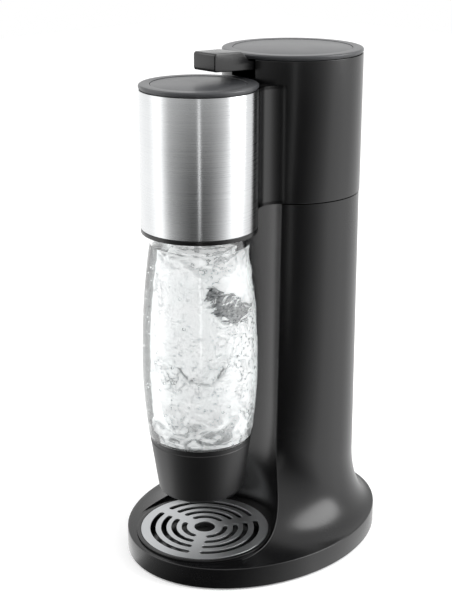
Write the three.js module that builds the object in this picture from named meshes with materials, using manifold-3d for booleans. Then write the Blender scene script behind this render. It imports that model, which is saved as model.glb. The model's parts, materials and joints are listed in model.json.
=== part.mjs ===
// Countertop sparkling water maker: a round column on an oval foot, a drum-shaped head beside it,
// a clear bottle hanging from the head, and a lever over the head that opens a gas cylinder.
// Millimetres, +Z up. The origin is on the table under the middle of the oval foot.
// +Y points to the back of the machine and +X to the right of someone who faces its front.

import * as THREE from 'three';
import { mergeVertices } from 'three/addons/utils/BufferGeometryUtils.js';
import Module from 'manifold-3d';

const wasm = await Module();
wasm.setup();

// Clearances and walls shared by many pieces
const SEAT_GAP = 0.3; // between pieces that rest on or fit in each other
const RUN_GAP = 0.1; // between a pin and its bore, all round
const SIDE_GAP = 1.1; // beside and under parts that move past a wall
const OVERRUN = 6; // how far a cutter passes the face that it cuts
const WALL = 2.6; // moulded walls

// Foot
const FOOT_LENGTH = 241.6;
const FOOT_WIDTH = 190.2;
const SKIRT_BOTTOM_Z = 1.5;
const RIM_Z = 19.2; // top edge of the upright skirt
const RIM_ROUND = 0.9;
const FLARE_HEIGHT = 38; // height of the flare where it has no reach
const FLARE_REACH_SHARE = 0.5; // the flare climbs by this share of its reach

// Column
const LOWER_RADIUS = 57.4;
const UPPER_RADIUS = 57.9;
const COLUMN_Y = 42.3; // axis at the seam and above it
const COLUMN_LEAN = 2.4; // the axis stands this much further back at the table
const COLUMN_TOP_Z = 417.4;
const UPPER_HEIGHT = 113.4; // from the seam to the top
const SEAM_Z = COLUMN_TOP_Z - UPPER_HEIGHT;

// Head
const HEAD_RADIUS = 46.5;
const HEAD_REACH = 104.8; // from the column's axis forward to the head's
const HEAD_DROP = 18.4; // the head's top is this much lower than the column's
const HEAD_HEIGHT = 108.7;
const HEAD_Y = COLUMN_Y - HEAD_REACH;
const HEAD_TOP_Z = COLUMN_TOP_Z - HEAD_DROP;
const HEAD_BOTTOM_Z = HEAD_TOP_Z - HEAD_HEIGHT;
const SLEEVE_WALL = 1;
const NECK_RADIUS = 20; // hollow of the waist between head and column
const HEAD_RING_HEIGHT = 3.4;
const HEAD_RING_PROUD = 0.1;
const HEAD_RING_WIDTH = 4.4;
const LEDGE_WIDTH = 3; // shelves inside the housing
const LEDGE_HEIGHT = 2.4;

// Round lids of the head and the column
const LID_HEIGHT = 3.9;
const LID_RIM_WIDTH = 9.2;
const LID_RIM_CHAMFERS = [1.7, 1.4]; // inwards, downwards
const LID_GROOVE = 0.4;
const LID_DISC_HEIGHT = 1.6;
const LID_DISC_DROP = 0.3; // the disc lies this much below the rim
const LID_LEDGE = 4;
const LID_SPIGOT_HEIGHT = 3;
const LID_SPIGOT_WALL = 2;

// Bottle bay: a hollow in the front of the column, round about the drip tray's axis
const TRAY_SHIFT = 4; // the tray's axis stands this much behind the head's
const TRAY_Y = HEAD_Y + TRAY_SHIFT;
const BAY_FOOT_RADIUS = 62.6;
const BAY_TOP_RADIUS = 64.5;
const BAY_FLOOR_Z = 19.7;

// Drip tray and grille
const TRAY_RADIUS = 58;
const TRAY_TOP_Z = 21.2;
const TRAY_FLANGE_HEIGHT = 3;
const TRAY_WALL = 2;
const TRAY_FLOOR_Z = 9;
const TRAY_DISH_RADIUS = 54;
const TRAY_DRAFT = 2.5;
const TRAY_EDGE = 0.6;
const GRILLE_RADIUS = 54.6;
const GRILLE_THICKNESS = 1.6;
const GRILLE_LEDGE = 2.8;
const GRILLE_HOLE_RADIUS = 8.9;
const SLOT_RING_RADII = [17.6, 26.5, 35.2, 44.5];
const SLOT_WIDTH = 4.5;
const SPOKE_WIDTH = 8.6;
const SPOKE_COUNT = 3;
const SPOKE_ANGLE = THREE.MathUtils.degToRad(66);

// Rear cover, behind which the gas cylinder is changed
const COVER_WIDTH = 74;
const COVER_BOTTOM_Z = 26;
const COVER_TOP_DROP = 6; // below the seam
const COVER_CORNER = 8;
const COVER_FRONT_Y = 62;

// Base plate, its screws and the rubber feet
const PLATE_THICKNESS = 2.5;
const PLATE_LIFT = 0.5; // above the skirt's lower edge
const FOOT_PAD_RADIUS = 9;
const FOOT_STEM_RADIUS = 3.4;
const FOOT_STEM_PROUD = 1;
const FOOT_PLACE_SHARES = [[0.61, -0.6], [-0.61, -0.6], [0.61, 0.53], [-0.61, 0.53]];
const SCREW_HEAD_RADIUS = 3.6;
const SCREW_HEAD_HEIGHT = 1.1;
const SCREW_SHANK_RADIUS = 1.6;
const SCREW_LENGTH = 12;
const SCREW_PLACE_SHARES = [[0.8, -0.12], [-0.8, -0.12], [0.55, 0.68], [-0.55, 0.68]];
const BOSS_RADIUS = 4.6;

// Gas cylinder, its valve and its seat
const GAS_BACK = 7.2; // its axis stands this much behind the column's
const GAS_Y = COLUMN_Y + GAS_BACK;
const GAS_RADIUS = 30;
const GAS_WALL = 3;
const GAS_DROP = 16; // room under the cylinder to unscrew it
const GAS_SHOULDER_HEIGHT = 42;
const GAS_HEEL = 9;
const GAS_NECK_RADIUS = 12.5;
const GAS_NECK_HEIGHT = 10;
const GAS_BORE_RADIUS = 8;
const SEAT_WALL = 2.6;
const SEAT_RIM_HEIGHT = 5;
const VALVE_COLLAR_HEIGHT = 9;
const VALVE_THREAD_RADIUS = 10.5;
const VALVE_THREAD_HEIGHT = 13;
const VALVE_STEM_HEIGHT = 8;
const VALVE_BORE_RADIUS = 2.4;
const VALVE_BORE_DEPTH = 12;
const PIN_RADIUS = 2;
const PIN_PROUD = 2; // of the valve's top, at rest

// Valve block and the deck that carries it
const DECK_DROP = 50.8; // below the column's top
const DECK_Z = COLUMN_TOP_Z - DECK_DROP;
const DECK_THICKNESS = 3;
const BLOCK_RADIUS = 19;
const BLOCK_HEIGHT = 43.3;
const BLOCK_SCREW_SPACING = 28;
const PORT_RADIUS = 3.2;
const PORT_LENGTH = 6;
const PORT_DROP = 13; // below the deck

// Lever, its pin, the push rod and the return spring
const PIVOT_INSIDE = 22.7; // in from the column's back
const PIVOT_DROP = 7.4; // below the column's top
const PIVOT_Y = COLUMN_Y + UPPER_RADIUS - PIVOT_INSIDE;
const PIVOT_Z = COLUMN_TOP_Z - PIVOT_DROP;
const LEVER_BOSS_RADIUS = 6.5;
const LEVER_PIN_RADIUS = 2.5;
const LEVER_WIDTH = 24;
const LEVER_TIP_BACK = 5.9; // the tip stops this much behind the head's axis
const LEVER_TIP_TOP_RISE = 15.8; // above the pivot
const LEVER_TIP_UNDER_RISE = 1.6;
const LEVER_FRONT_Y = HEAD_Y + LEVER_TIP_BACK;
const LEVER_FRONT_TOP_Z = PIVOT_Z + LEVER_TIP_TOP_RISE;
const LEVER_FRONT_BOTTOM_Z = PIVOT_Z + LEVER_TIP_UNDER_RISE;
const LEVER_RAMP_LENGTH = 13;
const LEVER_RAMP_GAP = 1; // from the ramp's foot to the column's front
const LEVER_RAMP_FOOT_Y = COLUMN_Y - UPPER_RADIUS - LEVER_RAMP_GAP;
const LEVER_PAD_END_Y = LEVER_RAMP_FOOT_Y - LEVER_RAMP_LENGTH;
const LEVER_PAD_FALL = 0.8;
const LEVER_ROUND = 2.4;
const LEVER_WALL = 2.4;
const LEVER_RIB_SHARES = [0.16, 0.32, 0.5, 0.62]; // ribs, as shares of the way from tip to pivot
const CHEEK_THICKNESS = 3.4;
const CHEEK_WIDTH = 20;
const ROD_RADIUS = 2.9;
const ROD_HEAD_RADIUS = 7;
const ROD_HEAD_HEIGHT = 3.4;
const SPRING_RADIUS = 5.2;
const SPRING_WIRE_RADIUS = 0.6;
const SPRING_TURNS = 7;

// Bottle
const BOTTLE_WALL = 2;
const BOTTLE_IN_HEAD = 35.7; // how far the bottle reaches into the head
const BOTTLE_TOP_Z = HEAD_BOTTOM_Z + BOTTLE_IN_HEAD;
const BOTTLE_WAIST_RADIUS = 43; // over the cup's lip
const BOTTLE_BELLY_RADIUS = 47.4;
const BOTTLE_SHOULDER_RADIUS = 39.2;
const BOTTLE_CROWN_RADIUS = 30;
const BOTTLE_NECK_RADIUS = 17.4;
const BOTTLE_BELLY_SHARE = 0.315; // heights, as shares of the way from the cup's lip to the mouth
const BOTTLE_SHOULDER_SHARE = 0.784;
const BOTTLE_CROWN_SHARE = 0.883;
const BOTTLE_NECK_SHARE = 0.92;
const BOTTLE_BULGE_SHARE = 0.75; // how far towards the belly's radius the sides are half way to it
const BOTTLE_FOOT_RADIUS = 31.6;
const BOTTLE_PUSH_UP = 5;

// Cup that the bottle stands in
const CUP_BOTTOM_Z = 62.6;
const CUP_TOP_Z = 112.7;
const CUP_WALL = 2.4;
const CUP_FOOT_RADIUS = 35.6;
const CUP_TOP_RADIUS = 42.4;
const CUP_ROUND = 4;
const CUP_LIP_HEIGHT = 5;
const CUP_LIP_STEP = 0.5;

// Head fittings: threaded collar, seal, nozzle, relief valve and gas hose
const COLLAR_WALL = 4.6;
const COLLAR_LIFT = 1.6; // over the foot of the bottle's neck
const COLLAR_FLANGE_RADIUS = 28;
const COLLAR_FLANGE_HEIGHT = 2.6;
const WEB_THICKNESS = 3;
const SEAL_THICKNESS = 2.2;
const SEAL_BORE_RADIUS = 4.4;
const NOZZLE_RADIUS = 3.4;
const NOZZLE_BORE_RADIUS = 1.4;
const NOZZLE_FLANGE_RADIUS = 13;
const NOZZLE_FLANGE_HEIGHT = 3;
const NOZZLE_SPIGOT_HEIGHT = 11;
const NOZZLE_TIP_SHARE = 0.475; // height of its tip, on the bottle's scale of heights
const RELIEF_X = 25;
const RELIEF_RADIUS = 5.5;
const RELIEF_HEIGHT = 17;
const HOSE_RADIUS = 3;
const HOSE_BEND_RADIUS = 24;
const QUARTER_HANDLE_SHARE = 0.5523; // a cubic's handles for a quarter circle, as a share of its radius

// Steps to a full turn, and along curves that aren't arcs
const BODY_STEPS = 60;
const CAVITY_STEPS = 40;
const LARGE_STEPS = 48;
const MEDIUM_STEPS = 24;
const SMALL_STEPS = 12;
const FLARE_STEPS = 7;
const CAVITY_FLARE_STEPS = 5;
const BOTTLE_SIDE_STEPS = 11;
const BOTTLE_INSIDE_STEPS = 7;
const CURVE_STEPS = 6;
const HOSE_SIDES = 8;
const SPRING_SIDES = 5;
const SPRING_TURN_STEPS = 8;
const STEP_ROUNDING = 0.01; // so that a whole number of steps isn't rounded up

// Solids from three.js geometries

function signedVolume(positions, triangles) {
  const corner = [new THREE.Vector3(), new THREE.Vector3(), new THREE.Vector3()];
  let volume = 0;
  for (let i = 0; i < triangles.length; i += 3) {
    corner.forEach((point, k) => point.fromArray(positions, 3 * triangles[i + k]));
    volume += corner[0].dot(corner[1].cross(corner[2])) / 6;
  }
  return volume;
}

// A closed solid with its faces turned outwards and no collapsed triangles
function solidOf(geometry) {
  geometry.deleteAttribute('normal');
  geometry.deleteAttribute('uv');
  const merged = mergeVertices(geometry);
  const positions = new Float32Array(merged.attributes.position.array);
  const triangles = [];
  for (let i = 0; i < merged.index.count; i += 3) {
    const [a, b, c] = merged.index.array.slice(i, i + 3);
    if (a !== b && b !== c && c !== a) {
      triangles.push(a, b, c);
    }
  }
  if (signedVolume(positions, triangles) < 0) {
    triangles.reverse();
  }
  const triVerts = new Uint32Array(triangles);
  return new wasm.Manifold(new wasm.Mesh({ numProp: 3, vertProperties: positions, triVerts }));
}

// A solid turned about the upright line through (x, y); the profile holds [radius, z] points
function turned(profile, steps, x = 0, y = 0) {
  const points = profile.map(([radius, z]) => new THREE.Vector2(radius, z));
  const geometry = new THREE.LatheGeometry(points, steps);
  geometry.rotateX(Math.PI / 2);
  geometry.translate(x, y, 0);
  return solidOf(geometry);
}

// A turned ring: its profile closes on itself
function ring(profile, steps, x = 0, y = 0) {
  return turned([...profile, profile[0]], steps, x, y);
}

// An upright round bar from one height to another, tapered where a second radius is given
function bar(radius, bottomZ, topZ, steps, x = 0, y = 0, topRadius = radius) {
  return turned([[0, bottomZ], [radius, bottomZ], [topRadius, topZ], [0, topZ]], steps, x, y);
}

function tube(innerRadius, outerRadius, bottomZ, topZ, steps, x = 0, y = 0) {
  const profile = [[innerRadius, bottomZ], [outerRadius, bottomZ], [outerRadius, topZ], [innerRadius, topZ]];
  return ring(profile, steps, x, y);
}

function block(low, high) {
  const size = high.map((value, i) => value - low[i]);
  const geometry = new THREE.BoxGeometry(...size);
  geometry.translate(...low.map((value, i) => value + size[i] / 2));
  return solidOf(geometry);
}

// An upright prism on a plan outline
function prism(shape, bottomZ, topZ) {
  const geometry = new THREE.ExtrudeGeometry(shape, { depth: topZ - bottomZ, bevelEnabled: false });
  geometry.translate(0, 0, bottomZ);
  return solidOf(geometry);
}

// A prism along X on an outline drawn in the side view (Y, Z), centred on x = 0
function sidePrism(shape, width) {
  const geometry = new THREE.ExtrudeGeometry(shape, { depth: width, bevelEnabled: false });
  geometry.translate(0, 0, -width / 2);
  const [x, y, z] = [new THREE.Vector3(1, 0, 0), new THREE.Vector3(0, 1, 0), new THREE.Vector3(0, 0, 1)];
  geometry.applyMatrix4(new THREE.Matrix4().makeBasis(y, z, x));
  return solidOf(geometry);
}

// A loft through closed rings of equally many points, with flat ends
function loft(rings) {
  const count = rings[0].length;
  const points = rings.flat();
  const triangles = [];
  for (let level = 0; level < rings.length - 1; level += 1) {
    for (let i = 0; i < count; i += 1) {
      const [a, b] = [level * count + i, level * count + ((i + 1) % count)];
      triangles.push(a, b, a + count, b, b + count, a + count);
    }
  }
  const last = (rings.length - 1) * count;
  for (let i = 1; i < count - 1; i += 1) {
    triangles.push(0, i + 1, i);
    triangles.push(last, last + i, last + i + 1);
  }
  const geometry = new THREE.BufferGeometry().setFromPoints(points);
  geometry.setIndex(triangles);
  return solidOf(geometry);
}

// Points on an arc of a circle, both ends included; a full turn would have turnSteps steps
function arc(x, y, radius, from, to, turnSteps) {
  const steps = Math.ceil((turnSteps * Math.abs(to - from)) / (2 * Math.PI) - STEP_ROUNDING);
  const angles = Array.from({ length: steps + 1 }, (_, i) => THREE.MathUtils.lerp(from, to, i / steps));
  return angles.map((angle) => new THREE.Vector2(x + radius * Math.cos(angle), y + radius * Math.sin(angle)));
}

// Points of a full circle
function circle(x, y, radius, turnSteps) {
  return arc(x, y, radius, 0, 2 * Math.PI, turnSteps).slice(1);
}

// Foot and column: each upright section of the flare is a quarter of an ellipse, from the
// column's side down and out to the oval rim, and the flare climbs higher where it reaches further

function columnY(z) {
  return COLUMN_Y + COLUMN_LEAN * (1 - z / SEAM_Z);
}

function rimPoint(angle, inset) {
  return new THREE.Vector2(
    (FOOT_WIDTH / 2 - inset) * Math.cos(angle),
    (FOOT_LENGTH / 2 - inset) * Math.sin(angle),
  );
}

function columnPoint(rim, z, inset) {
  const direction = Math.atan2(rim.y - columnY(0), rim.x);
  const radius = LOWER_RADIUS - inset;
  return new THREE.Vector2(radius * Math.cos(direction), columnY(z) + radius * Math.sin(direction));
}

function flarePoint(angle, sweep, inset) {
  const rim = rimPoint(angle, RIM_ROUND + inset);
  const reach = rim.distanceTo(columnPoint(rim, RIM_Z, inset));
  const height = FLARE_HEIGHT + FLARE_REACH_SHARE * reach;
  const z = RIM_Z - inset + height * (1 - Math.sin(sweep));
  const plan = columnPoint(rim, z, inset).lerp(rim, 1 - Math.cos(sweep));
  return new THREE.Vector3(plan.x, plan.y, z);
}

function footAndColumn(inset, bottomZ, topZ, steps, flareSteps) {
  const angles = Array.from({ length: steps }, (_, i) => (2 * Math.PI * i) / steps);
  const skirt = (z) => angles.map((angle) => {
    const point = rimPoint(angle, inset);
    return new THREE.Vector3(point.x, point.y, z);
  });
  const flare = Array.from({ length: flareSteps + 1 }, (_, i) => {
    const sweep = (Math.PI / 2) * (1 - i / flareSteps);
    return angles.map((angle) => flarePoint(angle, sweep, inset));
  });
  const top = angles.map((angle) => {
    const point = columnPoint(rimPoint(angle, RIM_ROUND + inset), topZ, inset);
    return new THREE.Vector3(point.x, point.y, topZ);
  });
  return loft([skirt(bottomZ), skirt(RIM_Z - RIM_ROUND - inset), ...flare, top]);
}

const BAY_CUT_TOP_Z = SEAM_Z + OVERRUN;

// The bottle bay's hollow, or with a margin the wall that backs it
function bayHollow(margin, floorZ) {
  const footRadius = BAY_FOOT_RADIUS + margin;
  const topRadius = BAY_TOP_RADIUS + margin;
  return bar(footRadius, floorZ, BAY_CUT_TOP_Z, LARGE_STEPS, 0, TRAY_Y, topRadius);
}

const FLANGE_SEAT_Z = TRAY_TOP_Z - TRAY_FLANGE_HEIGHT - SEAT_GAP;
const WELL_FLOOR_Z = TRAY_FLOOR_Z - SEAT_GAP;

// The stepped well that the drip tray hangs in
function trayWell(margin) {
  const grow = SEAT_GAP + margin;
  const seat = bar(TRAY_RADIUS + grow, FLANGE_SEAT_Z - margin, RIM_Z + OVERRUN, LARGE_STEPS, 0, TRAY_Y);
  const well = bar(TRAY_DISH_RADIUS + grow, WELL_FLOOR_Z - margin, RIM_Z, LARGE_STEPS, 0, TRAY_Y);
  return seat.add(well);
}

// The opening for the rear cover, seen from behind; the cover is cut with a smaller one
function coverBlock(margin) {
  const [halfWidth, corner] = [COVER_WIDTH / 2 - margin, COVER_CORNER - margin];
  const [bottomZ, topZ] = [COVER_BOTTOM_Z + margin, SEAM_Z - COVER_TOP_DROP - margin];
  const quarter = Math.PI / 2;
  const outline = [
    ...arc(halfWidth - corner, bottomZ + corner, corner, -quarter, 0, SMALL_STEPS),
    ...arc(halfWidth - corner, topZ - corner, corner, 0, quarter, SMALL_STEPS),
    ...arc(corner - halfWidth, topZ - corner, corner, quarter, 2 * quarter, SMALL_STEPS),
    ...arc(corner - halfWidth, bottomZ + corner, corner, 2 * quarter, 3 * quarter, SMALL_STEPS),
  ];
  const depth = FOOT_LENGTH / 2 + OVERRUN - COVER_FRONT_Y;
  const geometry = new THREE.ExtrudeGeometry(new THREE.Shape(outline), { depth, bevelEnabled: false });
  geometry.rotateX(Math.PI / 2);
  geometry.translate(0, COVER_FRONT_Y + depth, 0);
  return solidOf(geometry);
}

const PLATE_BOTTOM_Z = SKIRT_BOTTOM_Z + PLATE_LIFT;
const PLATE_TOP_Z = PLATE_BOTTOM_Z + PLATE_THICKNESS;
const SHELL_TOP_Z = SEAM_Z - SEAT_GAP;

function bodyWalls() {
  const outer = footAndColumn(0, SKIRT_BOTTOM_Z, SHELL_TOP_Z, BODY_STEPS, FLARE_STEPS)
    .subtract(bayHollow(0, BAY_FLOOR_Z))
    .subtract(trayWell(0));
  const [lowZ, highZ] = [SKIRT_BOTTOM_Z - OVERRUN, SHELL_TOP_Z + OVERRUN];
  const cavity = footAndColumn(WALL, lowZ, highZ, CAVITY_STEPS, CAVITY_FLARE_STEPS)
    .subtract(bayHollow(WALL, BAY_FLOOR_Z - WALL))
    .subtract(trayWell(WALL));
  return { outer, shell: outer.subtract(cavity) };
}

// Places on the oval foot, from shares of its half width and half length
const footSpot = ([shareX, shareY]) => [(shareX * FOOT_WIDTH) / 2, (shareY * FOOT_LENGTH) / 2];
const FOOT_PLACES = FOOT_PLACE_SHARES.map(footSpot);
const SCREW_PLACES = SCREW_PLACE_SHARES.map(footSpot);

function lowerBody(walls) {
  const bosses = SCREW_PLACES.map(([x, y]) => {
    const bossTopZ = RIM_Z + FLARE_HEIGHT;
    return bar(BOSS_RADIUS, PLATE_TOP_Z + SEAT_GAP, bossTopZ, SMALL_STEPS, x, y).intersect(walls.outer);
  });
  const boreTopZ = SKIRT_BOTTOM_Z + SCREW_LENGTH + SEAT_GAP;
  const bores = SCREW_PLACES.map(([x, y]) => (
    bar(SCREW_SHANK_RADIUS + SEAT_GAP, SKIRT_BOTTOM_Z, boreTopZ, SMALL_STEPS, x, y)
  ));
  const withBosses = bosses.reduce((body, boss) => body.add(boss), walls.shell);
  return bores.reduce((body, bore) => body.subtract(bore), withBosses).subtract(coverBlock(0));
}

function rearCover(walls) {
  return walls.shell.intersect(coverBlock(SEAT_GAP));
}

// Base plate, screws and feet

function basePlate() {
  const angles = Array.from({ length: CAVITY_STEPS }, (_, i) => (2 * Math.PI * i) / CAVITY_STEPS);
  const outline = angles.map((angle) => rimPoint(angle, WALL + SEAT_GAP));
  const holes = [
    ...FOOT_PLACES.map(([x, y]) => [FOOT_STEM_RADIUS + SEAT_GAP, x, y]),
    ...SCREW_PLACES.map(([x, y]) => [SCREW_SHANK_RADIUS + SEAT_GAP, x, y]),
  ];
  const plate = prism(new THREE.Shape(outline), PLATE_BOTTOM_Z, PLATE_TOP_Z);
  return holes.reduce((solid, [radius, x, y]) => (
    solid.subtract(bar(radius, PLATE_BOTTOM_Z - OVERRUN, PLATE_TOP_Z + OVERRUN, SMALL_STEPS, x, y))
  ), plate);
}

function rubberFoot([x, y]) {
  const padTopZ = PLATE_BOTTOM_Z - SEAT_GAP;
  const profile = [
    [0, 0],
    [FOOT_PAD_RADIUS, 0],
    [FOOT_PAD_RADIUS, padTopZ],
    [FOOT_STEM_RADIUS, padTopZ],
    [FOOT_STEM_RADIUS, PLATE_TOP_Z + FOOT_STEM_PROUD],
    [0, PLATE_TOP_Z + FOOT_STEM_PROUD],
  ];
  return turned(profile, SMALL_STEPS, x, y);
}

// A pan-head screw whose head meets a face at seatZ; it points up for 1 and down for -1
function screw([x, y], seatZ, length, pointing) {
  const neckZ = seatZ - pointing * SEAT_GAP;
  const profile = [
    [0, neckZ - pointing * SCREW_HEAD_HEIGHT],
    [SCREW_HEAD_RADIUS, neckZ - pointing * SCREW_HEAD_HEIGHT],
    [SCREW_HEAD_RADIUS, neckZ],
    [SCREW_SHANK_RADIUS, neckZ],
    [SCREW_SHANK_RADIUS, neckZ + pointing * (length - SCREW_SHANK_RADIUS)],
    [0, neckZ + pointing * length],
  ];
  return turned(profile, SMALL_STEPS, x, y);
}

// Drip tray: a dish whose flange hangs in the body's well, with a ledge for the grille
function dripTray() {
  const flangeBottomZ = TRAY_TOP_Z - TRAY_FLANGE_HEIGHT;
  const ledgeZ = TRAY_TOP_Z - GRILLE_THICKNESS;
  const wellRadius = GRILLE_RADIUS + SEAT_GAP;
  const profile = [
    [0, TRAY_FLOOR_Z],
    [TRAY_DISH_RADIUS - TRAY_DRAFT, TRAY_FLOOR_Z],
    [TRAY_DISH_RADIUS, flangeBottomZ],
    [TRAY_RADIUS, flangeBottomZ],
    [TRAY_RADIUS, TRAY_TOP_Z - TRAY_EDGE],
    [TRAY_RADIUS - TRAY_EDGE, TRAY_TOP_Z],
    [wellRadius, TRAY_TOP_Z],
    [wellRadius, ledgeZ],
    [wellRadius - GRILLE_LEDGE, ledgeZ],
    [TRAY_DISH_RADIUS - TRAY_DRAFT - TRAY_WALL, TRAY_FLOOR_Z + TRAY_WALL],
    [0, TRAY_FLOOR_Z + TRAY_WALL],
  ];
  return turned(profile, LARGE_STEPS, 0, TRAY_Y);
}

// One curved slot with round ends, between two spokes
function slotOutline(radius, middle) {
  const end = SLOT_WIDTH / 2;
  const half = Math.PI / SPOKE_COUNT - Math.asin((SPOKE_WIDTH / 2 + end) / radius);
  const [start, finish] = [middle - half, middle + half];
  const tip = (angle, from) => {
    const [x, y] = [radius * Math.cos(angle), TRAY_Y + radius * Math.sin(angle)];
    return arc(x, y, end, from, from + Math.PI, CURVE_STEPS);
  };
  const stretches = [
    arc(0, TRAY_Y, radius + end, start, finish, MEDIUM_STEPS),
    tip(finish, finish),
    arc(0, TRAY_Y, radius - end, finish, start, MEDIUM_STEPS),
    tip(start, start + Math.PI),
  ];
  return stretches.flatMap((points) => points.slice(0, -1));
}

const GRILLE_BOTTOM_Z = TRAY_TOP_Z - GRILLE_THICKNESS + SEAT_GAP;

// Drip grille: a disc with a round hole and rings of curved slots between three spokes
function dripGrille() {
  const disc = new THREE.Shape(circle(0, TRAY_Y, GRILLE_RADIUS, LARGE_STEPS));
  disc.holes.push(new THREE.Path(circle(0, TRAY_Y, GRILLE_HOLE_RADIUS, SMALL_STEPS)));
  const spread = (2 * Math.PI) / SPOKE_COUNT;
  for (const radius of SLOT_RING_RADII) {
    for (let k = 0; k < SPOKE_COUNT; k += 1) {
      disc.holes.push(new THREE.Path(slotOutline(radius, SPOKE_ANGLE + (k + 0.5) * spread)));
    }
  }
  return prism(disc, GRILLE_BOTTOM_Z, GRILLE_BOTTOM_Z + GRILLE_THICKNESS);
}

// Upper housing

// Where a hollow of the given radius touches the column's and the head's circles
function neckTangents(columnRadius, headRadius, neckRadius) {
  const distance = COLUMN_Y - HEAD_Y;
  const fromColumn = columnRadius + neckRadius;
  const fromHead = headRadius + neckRadius;
  const along = (distance ** 2 + fromColumn ** 2 - fromHead ** 2) / (2 * distance);
  const x = Math.sqrt(fromColumn ** 2 - along ** 2);
  const y = COLUMN_Y - along;
  return { x, y, columnAngle: Math.atan2(y - COLUMN_Y, x), headAngle: Math.atan2(y - HEAD_Y, x) };
}

const NECK = neckTangents(UPPER_RADIUS, HEAD_RADIUS, NECK_RADIUS);
const DRUM_RADIUS = HEAD_RADIUS - SLEEVE_WALL - SEAT_GAP;

// Plan of the waist between column and head: two hollow sides, each touching both circles
function waistPlan(inset) {
  const radius = NECK_RADIUS + inset;
  const neck = neckTangents(UPPER_RADIUS - inset, HEAD_RADIUS - inset, radius);
  const { x, y, columnAngle, headAngle } = neck;
  const left = arc(-x, y, radius, -columnAngle, -headAngle, LARGE_STEPS);
  const right = arc(x, y, radius, Math.PI + headAngle, Math.PI + columnAngle, LARGE_STEPS);
  return new THREE.Shape([...left, ...right]);
}

const COLLAR_TOP_Z = BOTTLE_TOP_Z + COLLAR_FLANGE_HEIGHT;
const WEB_Z = COLLAR_TOP_Z + SEAT_GAP;
const WEB_TOP_Z = WEB_Z + WEB_THICKNESS;

// The passage of the lever through the column's front wall and the lid's spigot
function leverPassage(bottomZ) {
  const halfWidth = LEVER_WIDTH / 2 + SIDE_GAP;
  return block([-halfWidth, HEAD_Y, bottomZ], [halfWidth, COLUMN_Y, COLUMN_TOP_Z + OVERRUN]);
}

function housingHollow() {
  const drumInner = DRUM_RADIUS - WALL;
  const floorZ = SEAM_Z + WALL;
  const waist = prism(waistPlan(WALL), floorZ, HEAD_TOP_Z - WALL);
  const column = bar(UPPER_RADIUS - WALL, floorZ, COLUMN_TOP_Z + OVERRUN, LARGE_STEPS, 0, COLUMN_Y);
  const drum = bar(drumInner, HEAD_BOTTOM_Z - OVERRUN, HEAD_TOP_Z + OVERRUN, LARGE_STEPS, 0, HEAD_Y);
  const gasWay = bar(LOWER_RADIUS - WALL, SEAM_Z - OVERRUN, SEAM_Z + OVERRUN, LARGE_STEPS, 0, COLUMN_Y);
  return waist.add(column).add(drum).add(gasWay.subtract(bayHollow(WALL, BAY_FLOOR_Z)));
}

// Part of a disc under the column's top that lies behind y = frontY
function behind(solid, frontY, bottomZ, topZ) {
  const half = block([-UPPER_RADIUS, frontY, bottomZ], [UPPER_RADIUS, COLUMN_Y + UPPER_RADIUS, topZ]);
  return solid.intersect(half);
}

// Shelves that the lever bracket and the head web lie on
function ledges() {
  const [deckTopZ, webTopZ] = [DECK_Z - SEAT_GAP, WEB_Z - SEAT_GAP];
  const deckInner = UPPER_RADIUS - WALL - LEDGE_WIDTH;
  const deckBottomZ = deckTopZ - LEDGE_HEIGHT;
  const deckLedge = tube(deckInner, UPPER_RADIUS - WALL / 2, deckBottomZ, deckTopZ, LARGE_STEPS, 0, COLUMN_Y);
  const [webInner, webOuter] = [DRUM_RADIUS - WALL - LEDGE_WIDTH, DRUM_RADIUS - WALL / 2];
  const webLedge = tube(webInner, webOuter, webTopZ - LEDGE_HEIGHT, webTopZ, LARGE_STEPS, 0, HEAD_Y);
  return behind(deckLedge, COLUMN_Y, deckBottomZ, deckTopZ).add(webLedge);
}

function upperHousing() {
  const waist = prism(waistPlan(0), SEAM_Z, HEAD_TOP_Z);
  const column = bar(UPPER_RADIUS, SEAM_Z, COLUMN_TOP_Z, LARGE_STEPS, 0, COLUMN_Y);
  const drum = bar(DRUM_RADIUS, HEAD_BOTTOM_Z, HEAD_TOP_Z, LARGE_STEPS, 0, HEAD_Y);
  const shell = waist.add(column).add(drum).subtract(housingHollow());
  return shell.add(ledges()).subtract(leverPassage(HEAD_TOP_Z + LID_HEIGHT));
}

// Disc across the head that the nozzle, the seal and the collar are set against
function headWeb() {
  const radius = DRUM_RADIUS - WALL - SEAT_GAP;
  return tube(SEAL_BORE_RADIUS + SIDE_GAP, radius, WEB_Z, WEB_TOP_Z, LARGE_STEPS, 0, HEAD_Y);
}

// One of the two cheeks that hold the lever's pin
function cheek(side) {
  const near = LEVER_WIDTH / 2 + SIDE_GAP;
  const [lowX, highX] = [side * near, side * (near + CHEEK_THICKNESS)].sort((a, b) => a - b);
  const [lowY, highY] = [PIVOT_Y - CHEEK_WIDTH / 2, PIVOT_Y + CHEEK_WIDTH / 2];
  return block([lowX, lowY, DECK_Z], [highX, highY, COLUMN_TOP_Z - SEAT_GAP]);
}

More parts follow.
